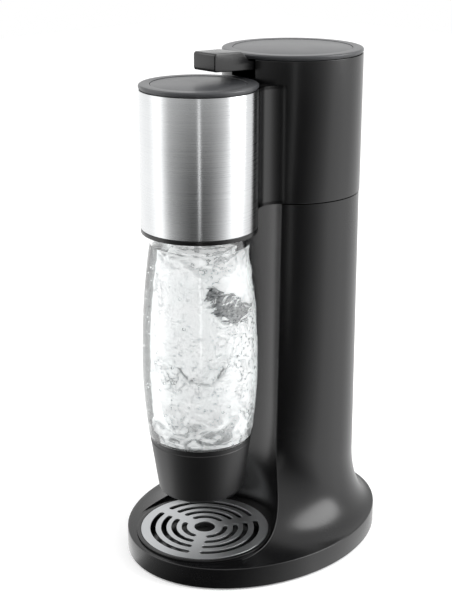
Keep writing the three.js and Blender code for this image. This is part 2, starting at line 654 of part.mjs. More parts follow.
// Deck over the valve block with two cheeks for the lever's pin; it stops short of the hose
function leverBracket() {
  const topZ = DECK_Z + DECK_THICKNESS;
  const disc = bar(UPPER_RADIUS - WALL - SEAT_GAP, DECK_Z, topZ, LARGE_STEPS, 0, COLUMN_Y);
  const deck = behind(disc, portFrontY() - HOSE_BEND_RADIUS, DECK_Z, topZ);
  const screwWays = blockScrewPlaces().map(([x, y]) => [SCREW_SHANK_RADIUS, x, y]);
  const bores = [[ROD_RADIUS, 0, GAS_Y], ...screwWays].map(([radius, x, y]) => (
    bar(radius + SEAT_GAP, DECK_Z - OVERRUN, DECK_Z + OVERRUN, SMALL_STEPS, x, y)
  ));
  const solid = deck.add(cheek(-1)).add(cheek(1));
  return [leverPin(RUN_GAP + SEAT_GAP / 2), ...bores].reduce((part, cut) => part.subtract(cut), solid);
}

// Head: sleeve, bottom ring and lids

// Bent steel sheet, open at the back where the waist joins the head
function headSleeve() {
  const margin = SEAT_GAP / HEAD_RADIUS;
  const [from, to] = [Math.PI - NECK.headAngle + margin, 2 * Math.PI + NECK.headAngle - margin];
  const outer = arc(0, HEAD_Y, HEAD_RADIUS, from, to, LARGE_STEPS);
  const inner = arc(0, HEAD_Y, HEAD_RADIUS - SLEEVE_WALL, to, from, LARGE_STEPS);
  return prism(new THREE.Shape([...outer, ...inner]), HEAD_BOTTOM_Z, HEAD_TOP_Z);
}

function headRing() {
  const topZ = HEAD_BOTTOM_Z - SEAT_GAP;
  const radius = HEAD_RADIUS + HEAD_RING_PROUD;
  return tube(radius - HEAD_RING_WIDTH, radius, topZ - HEAD_RING_HEIGHT, topZ, LARGE_STEPS, 0, HEAD_Y);
}

// Rim of a round lid: rounded outer edge, a ledge for the disc and a spigot into the wall below
function lidRim(radius, spigotRadius, seatZ, y) {
  const bottomZ = seatZ + SEAT_GAP;
  const topZ = bottomZ + LID_HEIGHT;
  const [roundIn, roundDown] = LID_RIM_CHAMFERS;
  const edge = arc(0, 0, 1, 0, Math.PI / 2, SMALL_STEPS);
  const round = edge.map(({ x, y }) => [radius - roundIn * (1 - x), topZ - roundDown * (1 - y)]);
  const discRadius = radius - LID_RIM_WIDTH;
  const ledgeZ = topZ - LID_DISC_DROP - LID_DISC_HEIGHT - SEAT_GAP;
  const profile = [
    [discRadius - LID_LEDGE, bottomZ],
    [spigotRadius - LID_SPIGOT_WALL, bottomZ],
    [spigotRadius - LID_SPIGOT_WALL, seatZ - LID_SPIGOT_HEIGHT],
    [spigotRadius, seatZ - LID_SPIGOT_HEIGHT],
    [spigotRadius, bottomZ],
    [radius, bottomZ],
    ...round,
    [discRadius + LID_GROOVE, topZ],
    [discRadius + LID_GROOVE, ledgeZ],
    [discRadius - LID_LEDGE, ledgeZ],
  ];
  return ring(profile, LARGE_STEPS, 0, y);
}

function lidDisc(radius, seatZ, y) {
  const topZ = seatZ + SEAT_GAP + LID_HEIGHT - LID_DISC_DROP;
  return bar(radius - LID_RIM_WIDTH, topZ - LID_DISC_HEIGHT, topZ, LARGE_STEPS, 0, y);
}

// Lever

// Height of the lever's underside at rest
function leverUnderZ(y) {
  const share = (PIVOT_Y - y) / (PIVOT_Y - LEVER_FRONT_Y);
  return THREE.MathUtils.lerp(PIVOT_Z - LEVER_BOSS_RADIUS, LEVER_FRONT_BOTTOM_Z, share);
}

// Side view: a raised pad at the tip, a ramp down to the arm, and a round boss at the pivot
function leverOutline() {
  const padEndZ = LEVER_FRONT_TOP_Z - LEVER_PAD_FALL;
  const armZ = PIVOT_Z + LEVER_BOSS_RADIUS;
  const ramp = Array.from({ length: CURVE_STEPS + 1 }, (_, i) => {
    const share = i / CURVE_STEPS;
    const ease = share * share * (3 - 2 * share);
    return new THREE.Vector2(
      THREE.MathUtils.lerp(LEVER_PAD_END_Y, LEVER_RAMP_FOOT_Y, share),
      THREE.MathUtils.lerp(padEndZ, armZ, ease),
    );
  });
  const quarter = Math.PI / 2;
  const tipY = LEVER_FRONT_Y + LEVER_ROUND;
  return new THREE.Shape([
    ...arc(PIVOT_Y, PIVOT_Z, LEVER_BOSS_RADIUS, -quarter, quarter, SMALL_STEPS),
    ...ramp.reverse(),
    ...arc(tipY, LEVER_FRONT_TOP_Z - LEVER_ROUND, LEVER_ROUND, quarter, 2 * quarter, SMALL_STEPS),
    ...arc(tipY, LEVER_FRONT_BOTTOM_Z + LEVER_ROUND, LEVER_ROUND, 2 * quarter, 3 * quarter, SMALL_STEPS),
  ]);
}

// Space under the lever's skin, open below, between two of its ribs
function leverPocket(fromY, toY) {
  const underPad = toY < LEVER_PAD_END_Y;
  const skinZ = underPad ? LEVER_FRONT_TOP_Z - LEVER_PAD_FALL : PIVOT_Z + LEVER_BOSS_RADIUS;
  const roofZ = skinZ - LEVER_WALL;
  const outline = [
    new THREE.Vector2(fromY, leverUnderZ(fromY) - OVERRUN),
    new THREE.Vector2(toY, leverUnderZ(toY) - OVERRUN),
    new THREE.Vector2(toY, roofZ),
    new THREE.Vector2(fromY, roofZ),
  ];
  return sidePrism(new THREE.Shape(outline), LEVER_WIDTH - 2 * LEVER_WALL);
}

function lever() {
  const length = PIVOT_Y - LEVER_FRONT_Y;
  const ribs = [0, ...LEVER_RIB_SHARES].map((share) => LEVER_FRONT_Y + LEVER_WALL + share * length);
  const pockets = ribs.slice(0, -1).map((start, i) => leverPocket(start, ribs[i + 1] - LEVER_WALL / 2));
  const solid = sidePrism(leverOutline(), LEVER_WIDTH);
  return [...pockets, leverPin(RUN_GAP)].reduce((part, cut) => part.subtract(cut), solid);
}

// The lever's pin, or with a margin the bore that it sits in
function leverPin(margin) {
  const section = new THREE.Shape(circle(PIVOT_Y, PIVOT_Z, LEVER_PIN_RADIUS + margin, MEDIUM_STEPS));
  const overrun = margin > 0 ? OVERRUN : 0;
  return sidePrism(section, LEVER_WIDTH + 2 * (SIDE_GAP + CHEEK_THICKNESS + LEVER_PIN_RADIUS / 2 + overrun));
}

// Gas cylinder, valve, valve block and push rod

const SEAT_FLOOR_Z = PLATE_TOP_Z + SEAT_GAP;
const GAS_BOTTOM_Z = SEAT_FLOOR_Z + SEAT_WALL + GAS_DROP;
const BLOCK_BOTTOM_Z = DECK_Z - SEAT_GAP - BLOCK_HEIGHT;
const GAS_TOP_Z = BLOCK_BOTTOM_Z - 2 * SEAT_GAP - VALVE_COLLAR_HEIGHT;
const VALVE_TOP_Z = GAS_TOP_Z + SEAT_GAP + VALVE_COLLAR_HEIGHT + VALVE_THREAD_HEIGHT;
const PIN_TOP_Z = VALVE_TOP_Z + PIN_PROUD;

function cylinderSeat() {
  const inner = GAS_RADIUS + SEAT_GAP;
  const floorTopZ = SEAT_FLOOR_Z + SEAT_WALL;
  const profile = [
    [0, SEAT_FLOOR_Z],
    [inner + SEAT_WALL, SEAT_FLOOR_Z],
    [inner + SEAT_WALL, floorTopZ + SEAT_RIM_HEIGHT],
    [inner, floorTopZ + SEAT_RIM_HEIGHT],
    [inner, floorTopZ],
    [0, floorTopZ],
  ];
  return turned(profile, MEDIUM_STEPS, 0, GAS_Y);
}

// Outline of the gas cylinder from the heel to the neck, inwards by an inset
function gasSide(inset) {
  const neckZ = GAS_TOP_Z - GAS_NECK_HEIGHT;
  const shoulderZ = neckZ - GAS_SHOULDER_HEIGHT;
  const quarter = Math.PI / 2;
  const [heelX, heelZ] = [GAS_RADIUS - GAS_HEEL, GAS_BOTTOM_Z + GAS_HEEL];
  const heel = arc(heelX, heelZ, GAS_HEEL - inset, -quarter, 0, SMALL_STEPS);
  const shoulder = arc(0, 0, 1, 0, quarter, SMALL_STEPS).map(({ x, y }) => [
    THREE.MathUtils.lerp(GAS_NECK_RADIUS, GAS_RADIUS, x) - inset,
    THREE.MathUtils.lerp(shoulderZ, neckZ - inset, y),
  ]);
  return [...heel.map((point) => [point.x, point.y]), ...shoulder];
}

// A hollow vessel, open only at the neck where the valve screws in
function gasCylinder() {
  const profile = [
    [0, GAS_BOTTOM_Z],
    ...gasSide(0),
    [GAS_NECK_RADIUS, GAS_TOP_Z],
    [GAS_BORE_RADIUS, GAS_TOP_Z],
    ...gasSide(GAS_WALL).reverse(),
    [0, GAS_BOTTOM_Z + GAS_WALL],
  ];
  return turned(profile, MEDIUM_STEPS, 0, GAS_Y);
}

function cylinderValve() {
  const collarZ = GAS_TOP_Z + SEAT_GAP;
  const stemRadius = GAS_BORE_RADIUS - SEAT_GAP;
  const profile = [
    [0, collarZ - VALVE_STEM_HEIGHT],
    [stemRadius, collarZ - VALVE_STEM_HEIGHT],
    [stemRadius, collarZ],
    [GAS_NECK_RADIUS, collarZ],
    [GAS_NECK_RADIUS, collarZ + VALVE_COLLAR_HEIGHT],
    [VALVE_THREAD_RADIUS, collarZ + VALVE_COLLAR_HEIGHT],
    [VALVE_THREAD_RADIUS, VALVE_TOP_Z],
    [VALVE_BORE_RADIUS, VALVE_TOP_Z],
    [VALVE_BORE_RADIUS, VALVE_TOP_Z - VALVE_BORE_DEPTH],
    [0, VALVE_TOP_Z - VALVE_BORE_DEPTH],
  ];
  return turned(profile, MEDIUM_STEPS, 0, GAS_Y);
}

// The pin stands clear of its bore's floor by its own stroke
function valvePin() {
  return bar(PIN_RADIUS, VALVE_TOP_Z - VALVE_BORE_DEPTH + PIN_PROUD, PIN_TOP_Z, SMALL_STEPS, 0, GAS_Y);
}

function blockScrewPlaces() {
  return [[BLOCK_SCREW_SPACING / 2, GAS_Y], [-BLOCK_SCREW_SPACING / 2, GAS_Y]];
}

// Brass block under the deck: the cylinder's valve below, the push rod above, the hose in front
function valveBlock() {
  const topZ = DECK_Z - SEAT_GAP;
  const portZ = DECK_Z - PORT_DROP;
  const body = bar(BLOCK_RADIUS, BLOCK_BOTTOM_Z, topZ, MEDIUM_STEPS, 0, GAS_Y);
  const socketTopZ = VALVE_TOP_Z + PIN_PROUD + SIDE_GAP;
  const socketRadius = VALVE_THREAD_RADIUS + SEAT_GAP;
  const socket = bar(socketRadius, BLOCK_BOTTOM_Z - OVERRUN, socketTopZ, MEDIUM_STEPS, 0, GAS_Y);
  const rodBore = bar(ROD_RADIUS + SEAT_GAP, socketTopZ - SIDE_GAP, topZ + OVERRUN, SMALL_STEPS, 0, GAS_Y);
  const port = alongY(PORT_RADIUS, portFrontY(), GAS_Y - BLOCK_RADIUS / 2, portZ);
  const portBore = alongY(NOZZLE_BORE_RADIUS, portFrontY() - OVERRUN, GAS_Y, portZ);
  const screwBores = blockScrewPlaces().map(([x, y]) => (
    bar(SCREW_SHANK_RADIUS + SEAT_GAP, topZ - SCREW_LENGTH, topZ + OVERRUN, SMALL_STEPS, x, y)
  ));
  const cuts = [socket, rodBore, portBore, ...screwBores];
  return cuts.reduce((solid, cut) => solid.subtract(cut), body.add(port));
}

function portFrontY() {
  return GAS_Y - BLOCK_RADIUS - PORT_LENGTH;
}

// A round bar along Y at x = 0
function alongY(radius, fromY, toY, z) {
  const geometry = new THREE.CylinderGeometry(radius, radius, toY - fromY, SMALL_STEPS);
  geometry.translate(0, (fromY + toY) / 2, z);
  return solidOf(geometry);
}

const ROD_TOP_Z = leverUnderZ(GAS_Y) - SEAT_GAP;

function pushRod() {
  const profile = [
    [0, PIN_TOP_Z + SEAT_GAP],
    [ROD_RADIUS, PIN_TOP_Z + SEAT_GAP],
    [ROD_RADIUS, ROD_TOP_Z - ROD_HEAD_HEIGHT],
    [ROD_HEAD_RADIUS, ROD_TOP_Z - ROD_HEAD_HEIGHT],
    [ROD_HEAD_RADIUS, ROD_TOP_Z - ROD_HEAD_HEIGHT / 2],
    [0, ROD_TOP_Z],
  ];
  return turned(profile, SMALL_STEPS, 0, GAS_Y);
}

// An open coil spring round the push rod, between the deck and the rod's head
function returnSpring() {
  const bottomZ = DECK_Z + DECK_THICKNESS + SEAT_GAP + SPRING_WIRE_RADIUS;
  const topZ = ROD_TOP_Z - ROD_HEAD_HEIGHT - SEAT_GAP - SPRING_WIRE_RADIUS;
  const steps = SPRING_TURNS * SPRING_TURN_STEPS;
  const rings = Array.from({ length: steps + 1 }, (_, i) => {
    const angle = (2 * Math.PI * i) / SPRING_TURN_STEPS;
    const z = THREE.MathUtils.lerp(bottomZ, topZ, i / steps);
    return Array.from({ length: SPRING_SIDES }, (__, k) => {
      const turn = (2 * Math.PI * k) / SPRING_SIDES;
      const radius = SPRING_RADIUS + SPRING_WIRE_RADIUS * Math.cos(turn);
      return new THREE.Vector3(
        radius * Math.cos(angle),
        GAS_Y + radius * Math.sin(angle),
        z - SPRING_WIRE_RADIUS * Math.sin(turn),
      );
    });
  });
  return loft(rings);
}

// Bottle and cup

const BOTTLE_SHELF_Z = CUP_TOP_Z + SEAT_GAP;
const BOTTLE_BOTTOM_Z = CUP_BOTTOM_Z + CUP_WALL + SEAT_GAP;

function bottleZ(share) {
  return THREE.MathUtils.lerp(BOTTLE_SHELF_Z, BOTTLE_TOP_Z, share);
}

// The clear bottle's side from the cup's lip to the neck, moved inwards by an inset
function bottleSide(inset, steps) {
  const bulge = (radius) => THREE.MathUtils.lerp(radius, BOTTLE_BELLY_RADIUS, BOTTLE_BULGE_SHARE);
  const throughPoints = [
    [BOTTLE_WAIST_RADIUS, BOTTLE_SHELF_Z],
    [bulge(BOTTLE_WAIST_RADIUS), bottleZ(BOTTLE_BELLY_SHARE / 2)],
    [BOTTLE_BELLY_RADIUS, bottleZ(BOTTLE_BELLY_SHARE)],
    [bulge(BOTTLE_SHOULDER_RADIUS), bottleZ((BOTTLE_BELLY_SHARE + BOTTLE_SHOULDER_SHARE) / 2)],
    [BOTTLE_SHOULDER_RADIUS, bottleZ(BOTTLE_SHOULDER_SHARE)],
    [BOTTLE_CROWN_RADIUS, bottleZ(BOTTLE_CROWN_SHARE)],
    [BOTTLE_NECK_RADIUS, bottleZ(BOTTLE_NECK_SHARE)],
  ];
  const curve = new THREE.SplineCurve(throughPoints.map(([radius, z]) => new THREE.Vector2(radius, z)));
  return curve.getPoints(steps).map((point) => [point.x - inset, point.y]);
}

// The lower part steps in to stand in the cup, and its floor is pushed up in the middle
function bottle() {
  const heelZ = BOTTLE_BOTTOM_Z + CUP_ROUND;
  const stepRadius = cupRadiusAt(BOTTLE_SHELF_Z) - CUP_WALL - CUP_LIP_STEP - SEAT_GAP;
  const outside = [
    [0, BOTTLE_BOTTOM_Z + BOTTLE_PUSH_UP],
    [BOTTLE_FOOT_RADIUS - CUP_ROUND, BOTTLE_BOTTOM_Z],
    [BOTTLE_FOOT_RADIUS, heelZ],
    [stepRadius, BOTTLE_SHELF_Z],
    ...bottleSide(0, BOTTLE_SIDE_STEPS),
    [BOTTLE_NECK_RADIUS, BOTTLE_TOP_Z],
  ];
  const inside = [
    [BOTTLE_NECK_RADIUS - BOTTLE_WALL, BOTTLE_TOP_Z],
    ...bottleSide(BOTTLE_WALL, BOTTLE_INSIDE_STEPS).reverse().slice(0, -1),
    [stepRadius - BOTTLE_WALL, BOTTLE_SHELF_Z],
    [BOTTLE_FOOT_RADIUS - BOTTLE_WALL, heelZ + BOTTLE_WALL],
    [0, BOTTLE_BOTTOM_Z + BOTTLE_PUSH_UP + BOTTLE_WALL],
  ];
  return turned([...outside, ...inside], LARGE_STEPS, 0, HEAD_Y);
}

function cupRadiusAt(z) {
  return THREE.MathUtils.mapLinear(z, CUP_BOTTOM_Z, CUP_TOP_Z, CUP_FOOT_RADIUS, CUP_TOP_RADIUS);
}

// A tapered cup with a rounded foot and a stepped lip
function bottleCup() {
  const lipZ = CUP_TOP_Z - CUP_LIP_HEIGHT;
  const floorTopZ = CUP_BOTTOM_Z + CUP_WALL;
  const [heelX, heelZ] = [CUP_FOOT_RADIUS - CUP_ROUND, CUP_BOTTOM_Z + CUP_ROUND];
  const heel = arc(heelX, heelZ, CUP_ROUND, -Math.PI / 2, 0, SMALL_STEPS);
  const profile = [
    [0, CUP_BOTTOM_Z],
    ...heel.map((point) => [point.x, point.y]),
    [cupRadiusAt(lipZ), lipZ],
    [cupRadiusAt(lipZ) - CUP_LIP_STEP, lipZ + CUP_LIP_STEP],
    [cupRadiusAt(CUP_TOP_Z) - CUP_LIP_STEP, CUP_TOP_Z],
    [cupRadiusAt(CUP_TOP_Z) - CUP_WALL, CUP_TOP_Z],
    [cupRadiusAt(floorTopZ) - CUP_WALL, floorTopZ],
    [0, floorTopZ],
  ];
  return turned(profile, LARGE_STEPS, 0, HEAD_Y);
}

// Head fittings

const COLLAR_BORE_RADIUS = BOTTLE_NECK_RADIUS + SEAT_GAP;

function bottleCollar() {
  const outer = COLLAR_BORE_RADIUS + COLLAR_WALL;
  const bottomZ = bottleZ(BOTTLE_NECK_SHARE) + COLLAR_LIFT;
  const profile = [
    [COLLAR_BORE_RADIUS, bottomZ],
    [outer, bottomZ],
    [outer, COLLAR_TOP_Z - COLLAR_FLANGE_HEIGHT],
    [COLLAR_FLANGE_RADIUS, COLLAR_TOP_Z - COLLAR_FLANGE_HEIGHT],
    [COLLAR_FLANGE_RADIUS, COLLAR_TOP_Z],
    [COLLAR_BORE_RADIUS, COLLAR_TOP_Z],
  ];
  return ring(profile, MEDIUM_STEPS, 0, HEAD_Y);
}

function bottleSeal() {
  const bottomZ = BOTTLE_TOP_Z + SEAT_GAP;
  const topZ = bottomZ + SEAL_THICKNESS;
  return tube(SEAL_BORE_RADIUS, BOTTLE_NECK_RADIUS, bottomZ, topZ, MEDIUM_STEPS, 0, HEAD_Y);
}

const SPIGOT_TOP_Z = WEB_TOP_Z + SEAT_GAP + NOZZLE_FLANGE_HEIGHT + NOZZLE_SPIGOT_HEIGHT;

function nozzle() {
  const flangeZ = WEB_TOP_Z + SEAT_GAP;
  const tipZ = bottleZ(NOZZLE_TIP_SHARE);
  const profile = [
    [NOZZLE_BORE_RADIUS, tipZ],
    [NOZZLE_RADIUS, tipZ + NOZZLE_RADIUS],
    [NOZZLE_RADIUS, flangeZ],
    [NOZZLE_FLANGE_RADIUS, flangeZ],
    [NOZZLE_FLANGE_RADIUS, flangeZ + NOZZLE_FLANGE_HEIGHT],
    [HOSE_RADIUS, flangeZ + NOZZLE_FLANGE_HEIGHT],
    [HOSE_RADIUS, SPIGOT_TOP_Z],
    [NOZZLE_BORE_RADIUS, SPIGOT_TOP_Z],
  ];
  return ring(profile, SMALL_STEPS, 0, HEAD_Y);
}

function reliefValve() {
  const bottomZ = WEB_TOP_Z + SEAT_GAP;
  const profile = [
    [0, bottomZ],
    [RELIEF_RADIUS, bottomZ],
    [RELIEF_RADIUS, bottomZ + RELIEF_HEIGHT / 2],
    [RELIEF_RADIUS / 2, bottomZ + RELIEF_HEIGHT / 2],
    [RELIEF_RADIUS / 2, bottomZ + RELIEF_HEIGHT],
    [0, bottomZ + RELIEF_HEIGHT],
  ];
  return turned(profile, SMALL_STEPS, RELIEF_X, HEAD_Y);
}

// The hose rises from the nozzle, bends back over the waist and falls to the valve block's port
function gasHose() {
  const startZ = SPIGOT_TOP_Z + SEAT_GAP;
  const endY = portFrontY() - SEAT_GAP;
  const endZ = DECK_Z - PORT_DROP;
  const bend = HOSE_BEND_RADIUS;
  const handle = bend * QUARTER_HANDLE_SHARE;
  const at = (y, z) => new THREE.Vector3(0, y, z);
  const rise = at(HEAD_Y, startZ + 2 * HOSE_RADIUS);
  const crest = at(HEAD_Y + bend, rise.z + bend);
  const land = at(endY - 2 * HOSE_RADIUS, endZ);
  const path = new THREE.CurvePath();
  const turn = [at(rise.y, rise.z + handle), at(crest.y - handle, crest.z)];
  const fall = [at(crest.y + bend, crest.z), at(land.y - bend, land.z)];
  path.add(new THREE.LineCurve3(at(HEAD_Y, startZ), rise));
  path.add(new THREE.CubicBezierCurve3(rise, ...turn, crest));
  path.add(new THREE.CubicBezierCurve3(crest, ...fall, land));
  path.add(new THREE.LineCurve3(land, at(endY, endZ)));
  const section = new THREE.Shape(circle(0, 0, HOSE_RADIUS, HOSE_SIDES));
  const steps = Math.round(path.getLength() / (2 * HOSE_RADIUS));
  return solidOf(new THREE.ExtrudeGeometry(section, { extrudePath: path, steps, bevelEnabled: false }));
}

// Finishes

const finish = (color, roughness, metalness, opacity = 1) => () => (
  new THREE.MeshStandardMaterial({ color, roughness, metalness, opacity, transparent: opacity < 1 })
);
const blackAbs = finish('#1d1e20', 0.35, 0);
const lidAbs = finish('#3f4042', 0.35, 0);
const innerAbs = finish('#3a3b3d', 0.6, 0);
const brushedSteel = finish('#c9cbcd', 0.3, 1);
const grilleSteel = finish('#b9bbbd', 0.35, 1);
const clearPet = finish('#eef3f6', 0.05, 0, 0.3);
const rubber = finish('#202020', 0.9, 0);
const brass = finish('#b8975a', 0.35, 1);
const plainSteel = finish('#a9abad', 0.4, 1);
const paintedSteel = finish('#6f7478', 0.5, 0.2);
const nylon = finish('#e4e4df', 0.5, 0);

// Assembly

const machine = new THREE.Group();

function place(name, solid, material) {
  const mesh = solid.getMesh();
  const geometry = new THREE.BufferGeometry();
  geometry.setAttribute('position', new THREE.BufferAttribute(new Float32Array(mesh.vertProperties), 3));
  geometry.setIndex(new THREE.BufferAttribute(new Uint32Array(mesh.triVerts), 1));
  geometry.computeVertexNormals();
  const part = new THREE.Mesh(geometry, material());
  part.name = name;
  machine.add(part);
}

const walls = bodyWalls();
place('lower_body', lowerBody(walls), blackAbs);
place('rear_cover', rearCover(walls), blackAbs);
place('base_plate', basePlate(), innerAbs);
FOOT_PLACES.forEach((spot, i) => place(`foot_${i + 1}`, rubberFoot(spot), rubber));
SCREW_PLACES.forEach((spot, i) => {
  place(`base_screw_${i + 1}`, screw(spot, PLATE_BOTTOM_Z, SCREW_LENGTH - PLATE_THICKNESS, 1), plainSteel);
});
place('drip_tray', dripTray(), blackAbs);
place('drip_grille', dripGrille(), grilleSteel);
place('upper_housing', upperHousing(), blackAbs);
place('head_web', headWeb(), innerAbs);
place('lever_bracket', leverBracket(), innerAbs);
place('head_sleeve', headSleeve(), brushedSteel);
place('head_ring', headRing(), blackAbs);
place('head_lid_rim', lidRim(HEAD_RADIUS, DRUM_RADIUS - WALL - SEAT_GAP, HEAD_TOP_Z, HEAD_Y), lidAbs);
place('head_lid_disc', lidDisc(HEAD_RADIUS, HEAD_TOP_Z, HEAD_Y), lidAbs);
const capRim = lidRim(UPPER_RADIUS, UPPER_RADIUS - WALL - SEAT_GAP, COLUMN_TOP_Z, COLUMN_Y);
place('column_lid_rim', capRim.subtract(leverPassage(COLUMN_TOP_Z - LID_SPIGOT_HEIGHT - OVERRUN)
  .intersect(bar(UPPER_RADIUS, HEAD_TOP_Z, COLUMN_TOP_Z + SEAT_GAP, LARGE_STEPS, 0, COLUMN_Y))), lidAbs);
place('column_lid_disc', lidDisc(UPPER_RADIUS, COLUMN_TOP_Z, COLUMN_Y), lidAbs);
place('lever', lever(), blackAbs);
place('lever_pin', leverPin(0), plainSteel);
place('push_rod', pushRod(), nylon);
place('return_spring', returnSpring(), plainSteel);
place('valve_block', valveBlock(), brass);
blockScrewPlaces().forEach((spot, i) => {
  place(`block_screw_${i + 1}`, screw(spot, DECK_Z + DECK_THICKNESS, SCREW_LENGTH, -1), plainSteel);
});
place('gas_cylinder', gasCylinder(), paintedSteel);
place('cylinder_valve', cylinderValve(), brass);
place('valve_pin', valvePin(), plainSteel);
place('cylinder_seat', cylinderSeat(), innerAbs);
place('gas_hose', gasHose(), nylon);
place('bottle_collar', bottleCollar(), innerAbs);
place('bottle_seal', bottleSeal(), rubber);
place('nozzle', nozzle(), nylon);
place('relief_valve', reliefValve(), brass);
place('bottle', bottle(), clearPet);
place('bottle_cup', bottleCup(), blackAbs);

export default machine;
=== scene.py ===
# %% [markdown]
# A sparkling water maker in Blender
#
# The machine is a black moulded column on an oval foot. A head dressed in brushed steel
# reaches forward over a clear bottle, and a gas cylinder stands hidden in the column.
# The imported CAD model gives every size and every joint. This lesson dresses it: each step
# builds one piece or one finish, in metres, in the same frame as the CAD.

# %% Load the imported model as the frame
import json
import math
import random

import bmesh
import bpy
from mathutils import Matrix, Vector, noise


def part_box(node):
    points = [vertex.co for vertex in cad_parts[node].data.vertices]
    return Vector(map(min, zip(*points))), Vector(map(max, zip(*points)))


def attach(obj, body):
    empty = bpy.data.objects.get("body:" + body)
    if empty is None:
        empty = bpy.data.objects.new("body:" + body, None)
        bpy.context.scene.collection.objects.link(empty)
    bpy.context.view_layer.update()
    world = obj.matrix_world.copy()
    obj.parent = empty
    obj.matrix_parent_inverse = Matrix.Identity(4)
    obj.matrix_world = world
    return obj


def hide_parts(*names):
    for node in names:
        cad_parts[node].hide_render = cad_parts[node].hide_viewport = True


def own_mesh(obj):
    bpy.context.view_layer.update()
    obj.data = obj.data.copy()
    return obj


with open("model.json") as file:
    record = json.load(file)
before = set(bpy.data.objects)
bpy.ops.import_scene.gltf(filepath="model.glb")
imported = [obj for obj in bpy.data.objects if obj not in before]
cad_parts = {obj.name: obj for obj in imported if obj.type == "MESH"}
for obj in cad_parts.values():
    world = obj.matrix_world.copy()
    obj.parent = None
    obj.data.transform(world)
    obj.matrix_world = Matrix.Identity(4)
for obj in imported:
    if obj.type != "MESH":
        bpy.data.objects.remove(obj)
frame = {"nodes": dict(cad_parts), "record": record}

FULL_TURN = 2 * math.pi
RIGHT_ANGLE = math.pi / 2


def placed(name, data):
    """A new object in the scene, made of a mesh, a curve, a lamp or a camera."""
    made = bpy.data.objects.new(name, data)
    bpy.context.scene.collection.objects.link(made)
    return made


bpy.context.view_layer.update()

# %% [markdown]
# Camera
#
# The photograph was taken from the front right corner, a little above the machine. Its
# place was found by fitting a pinhole camera to edges that can be recognised. The lens is
# long, so the upright edges stay nearly parallel.

# %% Camera at the photograph's angle
EYE = Vector((0.7280, -0.7343, 0.5618))
VIEW_DIRECTION = Vector((-0.68433, 0.65907, -0.31201))
FOCAL_LENGTH_MM = 78.64
FRAME_SHIFT_Y = -0.0104
FAR_CLIP = 20

camera = placed("camera", bpy.data.cameras.new("camera"))
camera.location = EYE
camera.rotation_euler = VIEW_DIRECTION.to_track_quat("-Z", "Y").to_euler()
camera.data.lens = FOCAL_LENGTH_MM
camera.data.shift_y = FRAME_SHIFT_Y
camera.data.clip_end = FAR_CLIP
bpy.context.scene.camera = camera
bpy.context.scene.view_settings.view_transform = "Standard"
print("camera tilt:", round(math.degrees(math.asin(-VIEW_DIRECTION.z)), 1), "degrees down")

# %% [markdown]
# Colours and nodes
#
# A colour is written as a hex code, the way a paint or plastic chart gives it. The shader
# wants linear light, so one function turns the code into numbers. A second small function
# adds a shader node with its settings and its links, and every material is built with it.

# %% One function for colours, one for nodes
LINEAR_BELOW = 0.04045
LINEAR_SLOPE = 12.92
CURVE_OFFSET = 0.055
CURVE_POWER = 2.4
WHITE = (1, 1, 1, 1)


def linear_light(channel):
    """The sRGB standard's curve from a stored channel to linear light."""
    if channel <= LINEAR_BELOW:
        return channel / LINEAR_SLOPE
    return ((channel + CURVE_OFFSET) / (1 + CURVE_OFFSET)) ** CURVE_POWER


def colour(code):
    """Linear RGBA of an sRGB hex code."""
    linear = [linear_light(int(code[i:i + 2], 16) / 255) for i in (1, 3, 5)]
    return (*linear, 1)


def add(tree, kind, inputs=None, **settings):
    """Add a node; an input is a number, a colour, a socket or a node, whose first live output counts."""
    made = tree.nodes.new("ShaderNode" + kind)
    for name, value in settings.items():
        setattr(made, name, value)
    for socket, value in (inputs or {}).items():
        entry = made.inputs[socket] if isinstance(socket, int) else next(
            s for s in made.inputs if s.name == socket and s.enabled
        )
        if isinstance(value, bpy.types.Node):
            value = next(s for s in value.outputs if s.enabled)
        if isinstance(value, bpy.types.NodeSocket):
            tree.links.new(value, entry)
        else:
            entry.default_value = value
    return made


print("mid grey #808080 is", round(colour("#808080")[0], 3), "in linear light")

# %% [markdown]
# Room
#
# The photograph was taken in a white studio tent. A tent is a soft world light whose
# brightness depends on the compass direction: white cloth nearly all round, and a darker
# gap towards the camera with one narrow bright strip in it. From the horizon upwards the
# cloth fades into an even roof. The steel head is a mirror of that room, and its upright
# bands and the line down its middle come from there. The camera and glass see plain white.

# %% World light by compass direction
# Azimuth in degrees, and the light that comes from there
ROOM_BANDS = [
    (-180, 1.4), (-150, 1.4), (-130, 1.8), (-119, 1.7), (-113, 1.0), (-102, 0.5), (-90, 0.33),
    (-75, 0.18), (-60, 0.07), (-36, 0.06), (-20, 0.15), (-8, 0.35), (2, 0.6), (13, 1.0),
    (24, 1.6), (50, 1.6), (62, 1.25), (100, 1.1), (180, 1.4),
]
STRIP_BANDS = [(-180, 0), (-44, 0), (-43, 2.0), (-41, 2.0), (-40, 0), (180, 0)]
STRIP_FROM = 0.5
STRIP_FADE = 0.2
HEAD_CENTRE = (0, -0.0625, 0)
ROOF_LIGHT = 1.0
ROOF_FROM = -0.05
ROOF_TO = 0.6


def bands_of(tree, direction, stops):
    """Light by compass direction, as a colour output."""
    parts = add(tree, "SeparateXYZ", {"Vector": direction})
    azimuth = add(tree, "Math", {0: parts.outputs["Y"], 1: parts.outputs["X"]}, operation="ARCTAN2")
    turn = add(tree, "MapRange", {"Value": azimuth, "From Min": -math.pi, "From Max": math.pi})
    bands = add(tree, "ValToRGB", {"Fac": turn})
    for _ in stops[2:]:
        bands.color_ramp.elements.new(1)
    for element, (degrees, level) in zip(bands.color_ramp.elements, stops):
        element.position = (degrees + 180) / 360
        element.color = (level, level, level, 1)
    return bands


